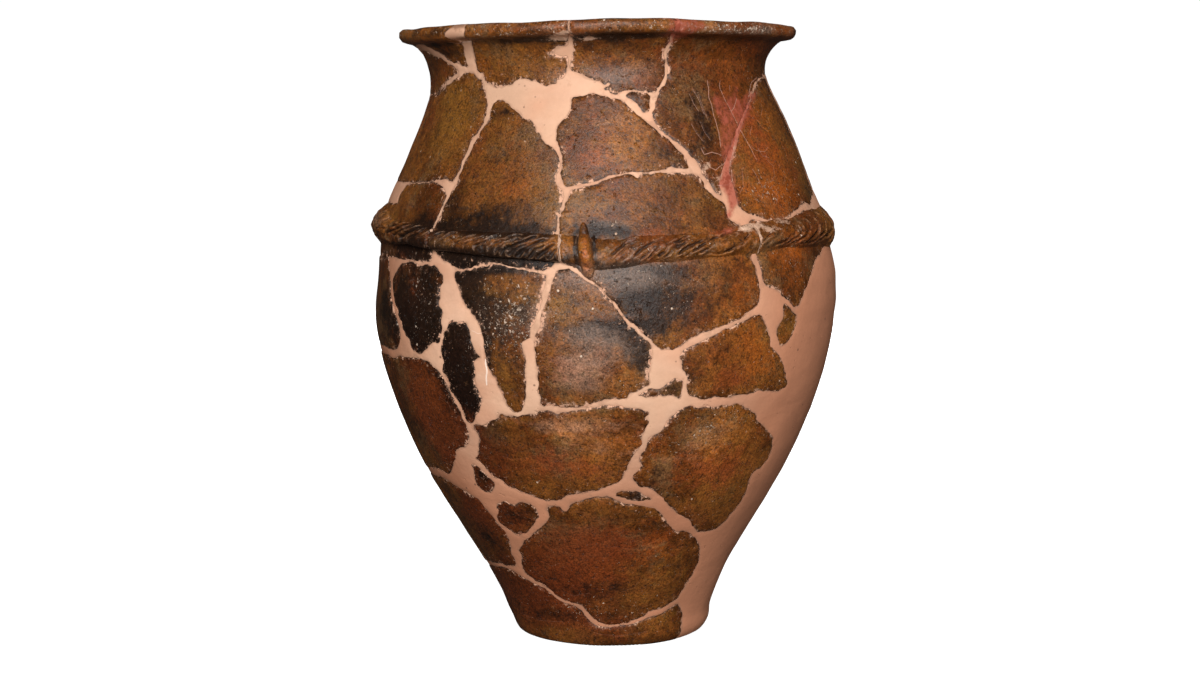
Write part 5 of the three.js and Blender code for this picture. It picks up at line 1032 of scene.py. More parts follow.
# ---- mesh making ---------------------------------------------------------------
def make_mesh(name, co_mm, tris, quads, attrs, material, sharp=None):
    me = bpy.data.meshes.new(name)
    polys = [tuple(map(int, t)) for t in tris] + [tuple(map(int, q)) for q in quads]
    me.from_pydata((np.asarray(co_mm) * .001).tolist(), [], polys)
    me.polygons.foreach_set("use_smooth", np.ones(len(me.polygons), bool))
    for key, val in attrs.items():
        a = me.attributes.new(key, "FLOAT_VECTOR", "POINT")
        a.data.foreach_set("vector", np.ascontiguousarray(val, np.float32).ravel())
    me.validate()
    if sharp:
        ev = np.zeros(len(me.edges) * 2, np.int32); me.edges.foreach_get("vertices", ev)
        ev = np.sort(ev.reshape(-1, 2), 1)
        flags = np.array([(a, b) in sharp for a, b in map(tuple, ev.tolist())], bool)
        sa = me.attributes.new("sharp_edge", "BOOLEAN", "EDGE") if "sharp_edge" not in me.attributes else me.attributes["sharp_edge"]
        sa.data.foreach_set("value", flags)
    me.materials.append(material)
    me.update()
    o = bpy.data.objects.new(name, me)
    bpy.context.scene.collection.objects.link(o)
    return o


def pack(t, edge, stain, scr, inside, groove, crack=0.0):
    z = np.zeros_like(edge)
    return {"tone_a": np.stack([t["K"], t["O"], t["L"]], -1), "tone_b": np.stack([t["R"], t["G"], t["S"]], -1),
            "mark_a": np.stack([t["M"] + z, edge, stain], -1), "mark_b": np.stack([scr + z, inside + z, groove + z], -1),
            "tone_c": np.stack([t["B"] + z, t["Z"] + z, z + crack + t["P"]], -1)}


def wall_piece(name, pid, material, sherd):
    tri = F[ids == pid]
    used = np.unique(tri)
    new = np.full(len(V), -1); new[used] = np.arange(len(used))
    t = new[tri]
    th, s, e = TH[used], SS[used], EDGE[used]
    n = len(used)
    if sherd:
        k = order[name]
        a = .20 * _hash(k + 5, 3, 7, 1); b = .006 * _hash(k + 5, 4, 7, 2); c = .006 * _hash(k + 5, 5, 7, 3)
        sm, um = s.mean(), th.mean()
        r = radius(s)
        tilt = a + b * np.clip((th - um) * r, -40, 40) + c * np.clip(s - sm, -40, 40)
        tilt = tilt * smooth(0, 6, S_TOP - s) * smooth(2, 12, s)
        h = low_relief[used] + fine_relief[used] + tilt
        h = h - .34 * np.exp(-(e / .5) ** 2) - .75 * chips[used] * np.exp(-(e / 1.2) ** 2)
        h = h - .16 * np.clip(SCR[used] * 1.5, 0, 1)
    else:
        h = low_relief[used] - .10 + .14 * fbm(P0[used], 9, 2, 41) - .16 * np.exp(-(e / .8) ** 2)
    h = h * smooth(-.5, 3, s) * (1 - .6 * smooth(S_TOP - 4, S_TOP, s))
    hi = in_relief[used] * smooth(0, 6, S_TOP - s) * smooth(0, 5, s) - .2 * np.exp(-(e / .8) ** 2) * smooth(0, 3, S_TOP - s)
    h = h + SWELL[used]
    po = outer(th, s, h); po[:, 2] = np.maximum(po[:, 2], 0)
    pi = inner(th, s, hi)
    top = s > S_TOP - 1e-4
    pi[top] = po[top]
    # edges of the piece
    ed = np.concatenate([t[:, [0, 1]], t[:, [1, 2]], t[:, [2, 0]]])
    key = ed[:, 0].astype(np.int64) * n + ed[:, 1]
    rev = ed[:, 1].astype(np.int64) * n + ed[:, 0]
    free = ed[~np.isin(key, rev)]
    free = free[~(top[free[:, 0]] & top[free[:, 1]])]
    rimv = np.unique(free)
    m1 = np.full(n, -1); m2 = np.full(n, -1)
    m1[rimv] = 2 * n + np.arange(len(rimv)); m2[rimv] = 2 * n + len(rimv) + np.arange(len(rimv))
    inn = np.where(top, np.arange(n), np.arange(n) + n)
    ring = []
    for f in (.33, .67):
        q = po[rimv] * (1 - f) + pi[rimv] * f
        w = np.where(top[rimv], 0, 1)[:, None]
        q = q + w * np.stack([.28 * vnoise(q, 2.6, 61), .28 * vnoise(q, 2.6, 62), .28 * vnoise(q, 2.6, 63)], -1)
        ring.append(q)
    m1 = np.where(top & (m1 >= 0), np.arange(n), m1); m2 = np.where(top & (m2 >= 0), np.arange(n), m2)
    quads, tris = [], [*t.tolist()]
    tris += [[inn[c], inn[b], inn[a]] for a, b, c in t.tolist()]
    sharp = set()
    for a, b in free.tolist():
        rows = [(a, b), (m1[a], m1[b]), (m2[a], m2[b]), (inn[a], inn[b])]
        for (a0, b0), (a1, b1) in zip(rows[:-1], rows[1:]):
            loop = [b0, a0, a1, b1]
            loop = [v for k2, v in enumerate(loop) if v not in loop[:k2]]
            if len(loop) >= 3:
                (quads if len(loop) == 4 else tris).append(loop)
        sharp.add((min(a, b), max(a, b))); sharp.add((min(inn[a], inn[b]), max(inn[a], inn[b])))
    co = np.concatenate([po, pi] + ring)
    idx = np.concatenate([np.arange(n), np.arange(n), rimv, rimv])
    T = {k: TONE[k][used][idx] for k in TONE}
    if not sherd:       # the filler is browner and darker round the right side, the left side, low down and behind; on the flanks this is partly its own browner tint, partly painted shade
        tan_and_flank_shade = np.clip(smooth(12, 52, thd[used]) + 1.0 * smooth(40, 74, -thd[used]) + .95 * smooth(112, 62, HT[used]), 0, 1)
        tan_and_flank_shade *= 1 - .75 * smooth(178, 195, HT[used]) * smooth(100, 70, abs(thd[used]))
        T = {k: np.zeros(len(idx)) for k in TONE} | {"R": tan_and_flank_shade[idx], "M": T["M"], "K": T["D"], "B": PLASTER_TONE_AND_SHADE[used][idx]}
    ins = np.concatenate([np.zeros(n), np.ones(n), np.full(2 * len(rimv), .5)])
    ins = np.where(idx >= 0, ins, 0)
    scr = SCR[used][idx] * (ins < .25)
    stain = np.where(ins < .6, STAIN[used][idx], -30)
    attrs = pack(T, EDGE[used][idx], stain, scr, ins, np.zeros(len(idx)))
    keep = np.unique(np.concatenate([np.ravel(x) for x in (tris, quads) if len(x)])).astype(int)
    m = np.full(len(co), -1); m[keep] = np.arange(len(keep))
    tris = [[m[v] for v in f] for f in tris]; quads = [[m[v] for v in f] for f in quads]
    sharp = {(min(m[a], m[b]), max(m[a], m[b])) for a, b in sharp}
    o = make_mesh(name + "_piece", co[keep], tris, quads, {k: v[keep] for k, v in attrs.items()}, material, sharp)
    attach(o, "root"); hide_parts(name)
    return o


class Graph:
    """short names for the nodes of one material; lengths in noise sizes are mm"""

    def __init__(self, name):
        self.m = bpy.data.materials.new(name); self.m.use_nodes = True
        self.t = self.m.node_tree; self.bsdf = self.t.nodes["Principled BSDF"]
        self.pos = self.t.nodes.new("ShaderNodeTexCoord").outputs["Object"]

    def put(self, socket, value):
        if isinstance(value, bpy.types.NodeSocket):
            self.t.links.new(value, socket)
        else:
            socket.default_value = value

    def math(self, op, a, b=0.0, c=0.0, clamp=False):
        n = self.t.nodes.new("ShaderNodeMath"); n.operation = op; n.use_clamp = clamp
        for s, v in zip(n.inputs, (a, b, c)):
            self.put(s, v)
        return n.outputs[0]

    def add(self, *a):
        v = a[0]
        for b in a[1:]:
            v = self.math("ADD", v, b)
        return v

    def mul(self, a, b):
        return self.math("MULTIPLY", a, b)

    def mask(self, x, lo, hi, top=1.0):
        n = self.t.nodes.new("ShaderNodeMapRange"); n.interpolation_type = "SMOOTHSTEP"
        for k, v in (("Value", x), ("From Min", lo), ("From Max", hi), ("To Min", 0.0), ("To Max", top)):
            self.put(n.inputs[k], v)
        return n.outputs["Result"]

    def stretch(self, vec, scale, offset=(0, 0, 0)):
        n = self.t.nodes.new("ShaderNodeMapping")
        self.put(n.inputs["Vector"], vec); n.inputs["Scale"].default_value = scale; n.inputs["Location"].default_value = offset
        return n.outputs["Vector"]

    def noise(self, size, detail=3, rough=.55, seed=0.0, squash=(1, 1, 1), warp=0.0):
        """0..1 around 0.5, features about size mm"""
        n = self.t.nodes.new("ShaderNodeTexNoise")
        self.put(n.inputs["Vector"], self.stretch(self.pos, tuple(1000 / size * q for q in squash), (seed * 3.7, seed * 1.9, seed * 5.3)))
        n.inputs["Scale"].default_value = 1.0; n.inputs["Detail"].default_value = detail
        n.inputs["Roughness"].default_value = rough; n.inputs["Distortion"].default_value = warp
        return n.outputs["Fac"]

    def cells(self, size, seed=0.0, jitter=1.0, squash=(1, 1, 1)):
        """distance to the nearest of scattered points, in cells, and a number for each"""
        n = self.t.nodes.new("ShaderNodeTexVoronoi")
        self.put(n.inputs["Vector"], self.stretch(self.pos, tuple(1000 / size * q for q in squash), (seed * 3.1, seed * 2.3, seed * 4.7)))
        n.inputs["Scale"].default_value = 1.0; n.inputs["Randomness"].default_value = jitter
        s = self.t.nodes.new("ShaderNodeSeparateColor"); self.put(s.inputs[0], n.outputs["Color"])
        return n.outputs["Distance"], s.outputs[0]

    def mix(self, f, a, b, kind="MIX"):
        n = self.t.nodes.new("ShaderNodeMix"); n.data_type = "RGBA"; n.blend_type = kind
        self.put(n.inputs[0], f)
        self.put(n.inputs[6], a if isinstance(a, bpy.types.NodeSocket) else (*a, 1))
        self.put(n.inputs[7], b if isinstance(b, bpy.types.NodeSocket) else (*b, 1))
        return n.outputs[2]

    def three(self, name):
        a = self.t.nodes.new("ShaderNodeAttribute"); a.attribute_name = name
        s = self.t.nodes.new("ShaderNodeSeparateXYZ"); self.put(s.inputs[0], a.outputs["Vector"])
        return s.outputs[0], s.outputs[1], s.outputs[2]

    def scaled(self, colour, by):
        n = self.t.nodes.new("ShaderNodeVectorMath"); n.operation = "SCALE"
        self.put(n.inputs[0], colour); self.put(n.inputs["Scale"], by)
        return n.outputs[0]

    def end(self, colour, rough, height, depth):
        self.put(self.bsdf.inputs["Base Color"], colour)
        self.put(self.bsdf.inputs["Roughness"], rough)
        b = self.t.nodes.new("ShaderNodeBump"); b.inputs["Strength"].default_value = 1.0; b.inputs["Distance"].default_value = depth * .001
        self.put(b.inputs["Height"], height)
        self.put(self.bsdf.inputs["Normal"], b.outputs["Normal"])
        return self.m


BROWN, DEEP, OLIVE, ORANGE = (.205, .066, .0100), (.086, .024, .0030), (.200, .086, .013), (.330, .074, .005)
RED, BLACK, PAINTED_SHEEN, GRIT = (.200, .038, .008), (.012, .0052, .0026), (.235, .150, .108), (.66, .44, .30)
PINK, CHALK, TAN_AND_FLANK_SHADE, DUST = (.36, .082, .058), (.735, .440, .288), (.61, .262, .146), (.36, .22, .145)

# fired clay, burnished: tones by place, with grain, grit, worn edges, smears and scratches, and painted sheen, painted
# light and painted shade
g = Graph("burnished_clay")
tK, tO, tL = g.three("tone_a"); tR, sheen_paint, tS = g.three("tone_b")
tM, edge, stain = g.three("mark_a"); scr, inside, groove = g.three("mark_b")
brightness_and_painted_light, glaze, crack = g.three("tone_c")
n40, n14 = g.noise(40, 2, .5, 1), g.noise(15, 9, .66, 2, warp=.25)
n5, n2 = g.noise(5.5, 6, .70, 3), g.noise(2.2, 5, .70, 4)
n1 = g.noise(1.05, 4, .72, 5)
drag = g.noise(8, 7, .66, 6, squash=(.40, .40, 1.9))       # wiped along the turn of the pot
dust = g.noise(3.6, 8, .80, 17)                             # grain that breaks up every change of tone


def off(n, by):
    return g.mul(g.math("SUBTRACT", n, .5), by)


def cloud(t, n, amount=1.3, lo=.12, hi=1.0, grain=1.5):
    return g.mask(g.add(t, off(n, amount), off(dust, grain)), lo, hi)


c = g.mix(g.mask(g.add(n14, off(n40, 1.2), off(dust, .9)), .36, .66), DEEP, BROWN)
hue = g.noise(24, 7, .62, 28)
c = g.mix(g.mask(g.add(hue, off(dust, .5)), .52, .68, .6), c, (.180, .050, .012))
c = g.mix(g.mask(g.add(hue, off(dust, .5)), .48, .34, .6), c, (.165, .086, .034))
c = g.mix(g.mask(g.add(g.noise(4.5, 6, .72, 18), off(n40, .4)), .50, .68, .38), c, OLIVE)
c = g.mix(g.mask(g.add(g.noise(6.5, 6, .72, 19), off(n40, -.5)), .52, .70, .34), c, RED)
c = g.mix(g.mul(cloud(tL, drag), .74), c, OLIVE)
c = g.mix(g.mul(cloud(tO, g.noise(12, 8, .68, 7, warp=.4)), .86), c, ORANGE)
c = g.mix(g.mul(cloud(tR, g.noise(13, 8, .66, 8)), .78), c, RED)
c = g.mix(g.mul(cloud(g.mul(tK, 1.25), g.noise(11, 9, .70, 10, warp=.3), 1.5, .16, .84, 1.9), .95), c, BLACK)
# painted grey sheen where G is placed: reflections of the lamps painted into the colour
c = g.mix(g.mul(cloud(sheen_paint, drag, 1.1, .25, 1.2), .46), c, PAINTED_SHEEN)
# lighter or darker by place: firing clouds, painted light, painted shade and painted sheen
c = g.scaled(c, g.math("POWER", 2.0, g.mul(g.add(brightness_and_painted_light, off(n14, .25)), 1.0)))
# red glaze that ran over the sherd
gz = g.mul(g.mask(g.add(glaze, off(drag, .9), off(dust, .8)), .15, 1.0), .72)
c = g.mix(gz, c, (.285, .046, .018))
# grain: every few tenths of a millimetre the surface is a little lighter or darker
n0 = g.noise(.62, 2, .6, 27)
c = g.scaled(c, g.math("MAXIMUM", g.add(1.0, off(n5, .85), off(n2, 1.30), off(n1, 2.4), off(n0, 2.4)), .12))
c = g.mix(g.mask(g.noise(2.1, 6, .80, 11), .560, .640, .78), c, (.018, .008, .004))
c = g.mix(g.mask(g.noise(7.5, 7, .76, 9), .575, .665, .50), c, (.030, .014, .007))
c = g.mix(g.mask(g.noise(4.2, 7, .80, 12, squash=(.7, .7, 1.2)), .60, .70, .42), c, (.33, .145, .055))
# pale grit and worn spots, close together where tone_b says so
d1, r1 = g.cells(4.6, 1)
few = g.mul(g.mask(g.add(r1, g.mul(tS, .25), off(n14, .4)), .90, .96), g.mask(g.add(d1, off(n1, .25)), .14, .06))
gsp = g.noise(1.3, 4, .80, 15); gsp2 = g.noise(3.0, 6, .84, 16)
many = g.mask(g.add(gsp, g.mul(tS, .120), off(n14, .20)), .664, .700)
worn = g.mask(g.add(gsp2, g.mul(tS, .125), off(n14, .26)), .690, .750)
grit = g.math("MAXIMUM", g.math("MAXIMUM", few, many), g.mul(worn, .75))
c = g.mix(g.mul(grit, .88), c, g.mix(g.mask(g.add(n5, g.mul(tS, -.12)), .42, .58), (.80, .62, .48), (.44, .22, .11)))
fog = g.mul(g.mask(g.add(tS, off(gsp2, 2.8), off(dust, 1.2)), .50, 1.40), .14)
c = g.mix(fog, c, DUST)
# edges of the breaks: a dark worn line, then filler wiped over it here and there
line = g.mul(g.mask(g.add(edge, off(n2, 1.6)), .95, .10), g.mask(n5, .36, .55))
c = g.mix(g.mul(line, .78), c, (.016, .008, .005))
reach = g.add(g.mul(g.math("SUBTRACT", n5, .535), 12.0), off(n2, 6.0), off(n1, 3.0), g.mul(tM, 2.2))
wiped = g.mul(g.mask(g.math("SUBTRACT", reach, edge), -.10, .40), g.mask(edge, 7.0, 3.0))
wiped = g.mul(wiped, g.mask(inside, .9, .6))
bits = g.mask(g.add(g.noise(1.7, 5, .80, 31), g.mul(g.mask(edge, 7.0, .5), g.add(.055, g.mul(tM, .05)))), .655, .700)
wiped = g.math("MAXIMUM", wiped, g.mul(g.mul(bits, g.mask(edge, 8.0, 5.0)), g.mask(inside, .9, .6)))
c = g.mix(g.mul(wiped, .92), c, (.74, .40, .255))
film = g.mul(g.mask(g.math("SUBTRACT", g.add(reach, g.mul(tM, 1.2), .9), edge), -.4, 1.8), .22)
c = g.mix(g.mul(film, g.mask(inside, .9, .6)), c, (.55, .34, .24))
# red filler stain and scratches
streak = g.noise(4.2, 6, .74, 41, squash=(1, 1, .30), warp=.35)
st = g.add(g.mul(g.mask(g.add(stain, g.mul(g.math("SUBTRACT", n5, .5), 7.0), g.mul(g.math("SUBTRACT", n14, .5), 9.0), off(n1, 3.0)), -1.4, 2.6), g.mask(g.add(n2, off(n14, .9)), .34, .66, .50)), g.mul(g.mul(g.mask(stain, -1.0, 1.6), g.add(.45, g.mask(g.add(streak, off(n1, .8)), .38, .60, .55))), .62))
st = g.math("MINIMUM", st, .80)
c = g.mix(g.mul(st, g.mask(inside, .6, .4)), c, g.mix(g.mask(g.add(streak, off(dust, .6)), .40, .64), (.250, .052, .022), (.410, .092, .056)))
c = g.mix(g.mul(g.mask(g.add(scr, g.mul(g.math("SUBTRACT", n1, .5), .5)), .15, .62), .8), c, (.47, .25, .18))
# incised strokes hold dirt; the same dark mark down the lug's sides is painted shadow, and the pale edges beside the
# strokes are painted highlights
c = g.mix(g.mul(g.mask(groove, .16, .62), .74), c, (.014, .007, .004))
painted_ridge_highlight = g.mul(g.mul(g.mask(groove, .20, .08), g.mask(groove, .006, .04)), g.mask(n2, .44, .60))
c = g.mix(g.mul(painted_ridge_highlight, .30), c, (.46, .26, .15))
c = g.mix(g.mul(g.mask(g.add(crack, off(n1, .9), off(n2, 1.0), off(n5, .7)), .35, .62), .88), c, g.mix(g.mask(n2, .4, .6), (.66, .43, .30), (.50, .30, .20)))
# break faces are the dark fired core, the inside is plain and matt
core = g.mul(g.mask(inside, .15, .4), g.mask(inside, .9, .7))
c = g.mix(core, c, g.mix(g.mask(n2, .4, .62), (.030, .018, .012), (.120, .060, .030)))
deep_in = g.mask(inside, .7, .95)
cin = g.mix(g.mask(g.add(n14, g.mul(n5, .4)), .55, .9), (.055, .030, .018), (.150, .085, .048))
cin = g.mix(g.mask(g.noise(6, 4, .6, 14, squash=(.5, .5, 1.6)), .52, .68, .6), cin, (.030, .020, .015))
c = g.mix(deep_in, c, cin)
rough = g.add(.22, g.mul(n5, .12), g.mul(n2, .16), g.mul(dust, .12), g.mul(wiped, .40), g.mul(grit, .3), g.mul(core, .35), g.mul(deep_in, .30), g.mul(groove, .2))
h = g.add(g.mul(n5, .55), g.mul(n2, .42), g.mul(n1, .26), g.mul(grit, -.25), g.mul(wiped, .20), g.mul(g.mask(g.noise(2.7, 5, .7, 13), .60, .68), -.40), g.mul(core, g.mul(n2, .8)))
clay = g.end(c, rough, h, .62)
clay.node_tree.nodes["Principled BSDF"].inputs["Specular IOR Level"].default_value = .36

# restoration plaster: matt, trowelled, a little dirt along the sherds, painted shade on its flanks
g = Graph("fill_plaster")
tM, edge, stain = g.three("mark_a"); scr, inside, groove = g.three("mark_b"); tan_and_flank_shade, _, _ = g.three("tone_b")
brightness_and_painted_light, _, _ = g.three("tone_c")
p30, p6, p2 = g.noise(30, 3, .5, 21), g.noise(6, 4, .6, 22), g.noise(1.6, 3, .6, 23)
trowel = g.noise(9, 3, .55, 24, squash=(.35, .35, 1.0), warp=.5)
c = g.mix(g.mask(p30, .35, .68), CHALK, (.70, .370, .232))
c = g.mix(g.mask(trowel, .42, .72, .5), c, (.78, .480, .330))
# browner, darker plaster on the flanks: its own tint with painted shade
c = g.mix(tan_and_flank_shade, c, TAN_AND_FLANK_SHADE)
soil, _, _ = g.three("tone_a")
c = g.mix(g.mul(g.mask(g.add(soil, g.mul(g.math("SUBTRACT", p6, .5), 1.6), g.mul(g.math("SUBTRACT", p2, .5), .8)), .25, .85), .75), c, (.235, .110, .060))
# lighter or darker by place, the painted shade of the right flank among it
c = g.scaled(c, g.mul(g.add(.80, g.mul(p6, .14), g.mul(p2, .12)), g.math("POWER", 2.0, brightness_and_painted_light)))
dirt = g.mul(g.mask(g.add(edge, g.mul(g.math("SUBTRACT", p6, .5), 3.0)), 1.0, -.1), .5)
c = g.mix(dirt, c, (.36, .19, .12))
rim = g.mul(g.mask(edge, .32, .05), g.mask(p2, .42, .6))
c = g.mix(g.mul(rim, .5), c, (.10, .055, .035))
d1, r1 = g.cells(4.4, 5)
c = g.mix(g.mul(g.mul(g.mask(r1, .90, .93), g.mask(d1, .17, .08)), .75), c, (.13, .07, .045))
c = g.mix(g.mask(g.noise(3.4, 4, .7, 25), .68, .76, .55), c, (.45, .25, .17))
c = g.mix(g.mask(g.noise(2.0, 5, .78, 29, squash=(1, 1, .5)), .665, .715, .6), c, (.40, .22, .15))
c = g.mix(g.mul(g.mask(scr, .15, .6), .85), c, (.95, .78, .66))
st = g.mul(g.mask(g.add(stain, g.mul(g.math("SUBTRACT", p6, .5), 6.0)), -.8, 1.8), .95)
c = g.mix(st, c, g.mix(g.mask(g.add(p6, g.mul(g.math("SUBTRACT", p2, .5), .6)), .36, .62), (.25, .045, .024), (.43, .120, .075)))
c = g.mix(g.mul(g.mask(inside, .7, .95), .5), c, (.60, .40, .30))
rough = g.add(.74, g.mul(p6, .12))
h = g.add(g.mul(p6, .5), g.mul(trowel, .8), g.mul(p2, .22), g.mul(g.mask(g.noise(2.6, 2, .5, 26), .70, .76), -.5))
plaster = g.end(c, rough, h, .40)
plaster.node_tree.nodes["Principled BSDF"].inputs["Specular IOR Level"].default_value = .1

for name in outlines:
    wall_piece(name, order[name], clay, True)
for name in patch_names:
    wall_piece(name, patch_id[name], plaster, False)


# ---- cordon ----------------------------------------------------------------------
grooves = [(d, w, np.array([(a * DEG * 100, b) for a, b in pts])) for d, w, pts in GROOVES]
k = 0
td = 74.0
while td < 286:
    lo, hi = cordon_edges(np.array([td])); lo, hi = float(lo[0]), float(hi[0])
    j1, j2, j3 = (_hash(k, n, 9, 71) for n in (1, 2, 3))
    run = 9.5 + 1.6 * j1
    pts = np.array([(td, lo + .4), (td + run * .30, lo + 2.8), (td + run * .62, lo + 6.0 + .5 * j3), (td + run, hi - .6)])
    turn = -360 if td > 180 else 0
    grooves.append((1.9 + .5 * j2, .8 + .1 * j3, np.column_stack([(pts[:, 0] + turn) * DEG * 100, pts[:, 1]])))
    grooves.append((.9 + .3 * j3, .6, np.column_stack([(pts[:, 0] + turn + 2.6 + .6 * j1) * DEG * 100, pts[:, 1] + .2])))
    td += 5.6 + .9 * j3
    k += 1

PV = np.array([-.22, -.14, -.07, -.01, .06, .14, .26, .40, .56, .72, .86, .98, 1.08, 1.18, 1.30])
PH = np.array([-1.0, -.4, .7, 2.2, 3.1, 3.7, 4.1, 4.15, 3.85, 3.3, 2.6, 1.75, .95, .2, -.8])


PR = np.array([-1.0, -.5, .15, .85, 1.75, 2.65, 3.5, 3.95, 3.85, 3.3, 2.6, 1.75, .95, .2, -.8])


def hangs(td):
    """1 where the cordon's lower edge overhangs, 0 where it runs out softly into the wall"""
    td = (np.asarray(td, float) + 180) % 360 - 180
    return smooth(-74, -64, td) * (1 - smooth(-14, 16, td)) + smooth(100, 130, abs(td)) * .6


def cordon_height(td, z, p3):
    """height of the cordon over the wall in mm, and how deep in a groove a place is"""
    td = (td + 180) % 360 - 180
    lo, hi = cordon_edges(td)
    v = (z - lo) / (hi - lo)
    hang = hangs(td)
    h = hang * pchip(v, PV, PH) + (1 - hang) * pchip(v, PV, PR)
    h = h * (1 + np.where(td < 0, .22, .06) * smooth(60, 85, abs(td)) * (h > 0))
    body = smooth(-.02, .1, v) * (1 - smooth(.95, 1.15, v))
    x = td * DEG * 100
    g = np.zeros(len(x)); cut = np.zeros(len(x)); swell = np.zeros(len(x))
    wx, wz = .55 * vnoise(p3, 3.4, 83) + .25 * vnoise(p3, 1.3, 84), .55 * vnoise(p3, 3.4, 85) + .25 * vnoise(p3, 1.3, 86)
    breaks = np.clip(.80 + .75 * vnoise(p3, 4.0, 87) + .35 * vnoise(p3, 1.6, 88), .12, 1.2)
    for d, w, pts in grooves:
        box = (abs(x - pts[:, 0].mean()) < np.ptp(pts[:, 0]) / 2 + 6)
        kk = np.nonzero(box)[0]
        if not len(kk):
            continue
        dist, sh = line_distance(x[kk] + wx[kk], z[kk] + wz[kk], pts)
        taper = smooth(-.02, .16, sh) * smooth(-.02, .2, 1 - sh) * breaks[kk]
        prof = np.exp(-(dist / w) ** 2)
        cut[kk] = np.maximum(cut[kk], d * prof * taper)
        g[kk] = np.maximum(g[kk], np.clip(prof * 1.15, 0, 1) * taper * min(1, d / 1.8))
        swell[kk] = np.maximum(swell[kk], .42 * np.exp(-((dist - 2.3 * w) / (1.4 * w)) ** 2) * taper)
    flat = 1 - np.exp(-((td + 4.4) / 4.5) ** 2)          # smooth round the lug
    h = h + body * flat * (swell - cut)
    rough = .30 * vnoise(p3, 4.5, 81) + .22 * vnoise(p3, 2.0, 82) + .16 * vnoise(p3, 1.0, 89)
    ragged = np.exp(-((td + 66) / 14) ** 2)               # broken stretch on the left
    h = h + np.clip(h, 0, 1) * rough * (.6 + 1.6 * ragged)
    return h, g * body * flat * (1 - .35 * smooth(8, 30, td))


def grid_faces(nu, nv, base=0):
    i = np.arange(nu * nv).reshape(nu, nv) + base
    return np.stack([i[:-1, :-1], i[1:, :-1], i[1:, 1:], i[:-1, 1:]], -1).reshape(-1, 4)


def slab(name, th, s, h, depth, edge, groove, material, node, crack=None):
    """closed piece lying on the wall: th and s are grids, h the height over the wall"""
    nu, nv = th.shape
    P = outer(th.ravel(), s.ravel())
    rel = (.55 * fbm(P, 60, 2, 1) + .30 * fbm(P, 22, 2, 2))
    topp = outer(th.ravel(), s.ravel(), h.ravel() + rel)
    bot = outer(th.ravel(), s.ravel(), np.minimum(h.ravel(), 0) + rel - depth)
    co = np.concatenate([topp, bot])
    n = nu * nv
    q = grid_faces(nu, nv)
    quads = [q, q[:, ::-1] + n]
    i = np.arange(n).reshape(nu, nv)
    loop = np.concatenate([i[:, 0], i[-1, 1:], i[-2::-1, -1], i[0, -2:0:-1]])
    nxt = np.roll(loop, -1)
    quads.append(np.stack([nxt, loop, loop + n, nxt + n], -1))
    quads = np.concatenate(quads)
    idx = np.concatenate([np.arange(n)] * 2)
    zz = np.interp(s.ravel(), _ss, _oz)
    tdeg = th.ravel() / DEG
    T = tones(tdeg, zz); T["O"] *= .45 if name != "lug_front_piece" else 1.0; T = {k2: v[idx] for k2, v in T.items()}
    st = stain_at((tdeg + 180) % 360 - 180, zz)
    attrs = pack(T, edge.ravel()[idx], st[idx], np.zeros(2 * n), np.r_[np.zeros(n), np.full(n, .5)], groove.ravel()[idx], 0.0 if crack is None else crack.ravel()[idx])
    sharp = {(min(a, b), max(a, b)) for a, b in zip(loop.tolist(), nxt.tolist())}
    sharp |= {(a + n, b + n) for a, b in sharp}
    o = make_mesh(name, co, [], quads, attrs, material, sharp)
    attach(o, "root"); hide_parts(node)
    return o


for name, a, b in STRIPS:
    nu = int((b - a) * DEG * 100 / (.38 if b < 100 else .75)) + 2
    whole_a, whole_b = name == "cordon_front", name == "cordon_front_short"      # these ends run into the lug
    vv = np.concatenate([np.linspace(-.22, .14, 12)[:-1], np.linspace(.14, .9, 19)[:-1], np.linspace(.9, 1.30, 9)])
    nv = len(vv)
    td = np.repeat(np.linspace(a, b, nu)[:, None], nv, 1)
    lo, hi = cordon_edges(td[:, 0])
    z = lo[:, None] + (hi - lo)[:, None] * vv[None, :]
    # broken ends are not straight
    zig = .9 * vnoise(np.stack([z * 0, z * 0 + round(a), z], -1), 3.2, 91) + .5 * vnoise(np.stack([z * 0, z * 0 + round(a), z], -1), 1.4, 92)
    zig2 = .9 * vnoise(np.stack([z * 0, z * 0 + round(b), z], -1), 3.2, 91) + .5 * vnoise(np.stack([z * 0, z * 0 + round(b), z], -1), 1.4, 92)
    f = np.linspace(0, 1, nu)[:, None]
    near_a, near_b = np.exp(-f * (b - a) * 1.7 / 3), np.exp(-(1 - f) * (b - a) * 1.7 / 3)
    gap = .16
    td = td + ((zig + gap) * near_a * (not whole_a) + (zig2 - gap) * near_b * (not whole_b)) / 100 / DEG
    s = s_of_z(z)
    P = outer((td * DEG).ravel(), s.ravel())
    h, g = cordon_height(td.ravel(), z.ravel(), P)
    dist = np.minimum((td - a) * DEG * 100 + 50 * whole_a, (b - td) * DEG * 100 + 50 * whole_b)
    dist = np.clip(dist, 0, 50)
    endwear = .5 * np.exp(-(dist / .6) ** 2).ravel()
    h = (h - endwear * np.clip(h, 0, 1)).reshape(nu, nv); g = g.reshape(nu, nv)
    # the lower edge hangs over a little
    under = (1 - smooth(0, .3, vv))[None, :] * np.clip(h, 0, 4) * .42 * hangs(td)
    s = s - under
    crack = np.exp(-(dist / .55) ** 2) * (abs((td[:1, :1] + 180) % 360 - 180) < 75)
    slab(name + "_piece", td * DEG, s, h, .9, np.clip(dist, 0, 20) + 2.5, g, clay, name, crack=crack)

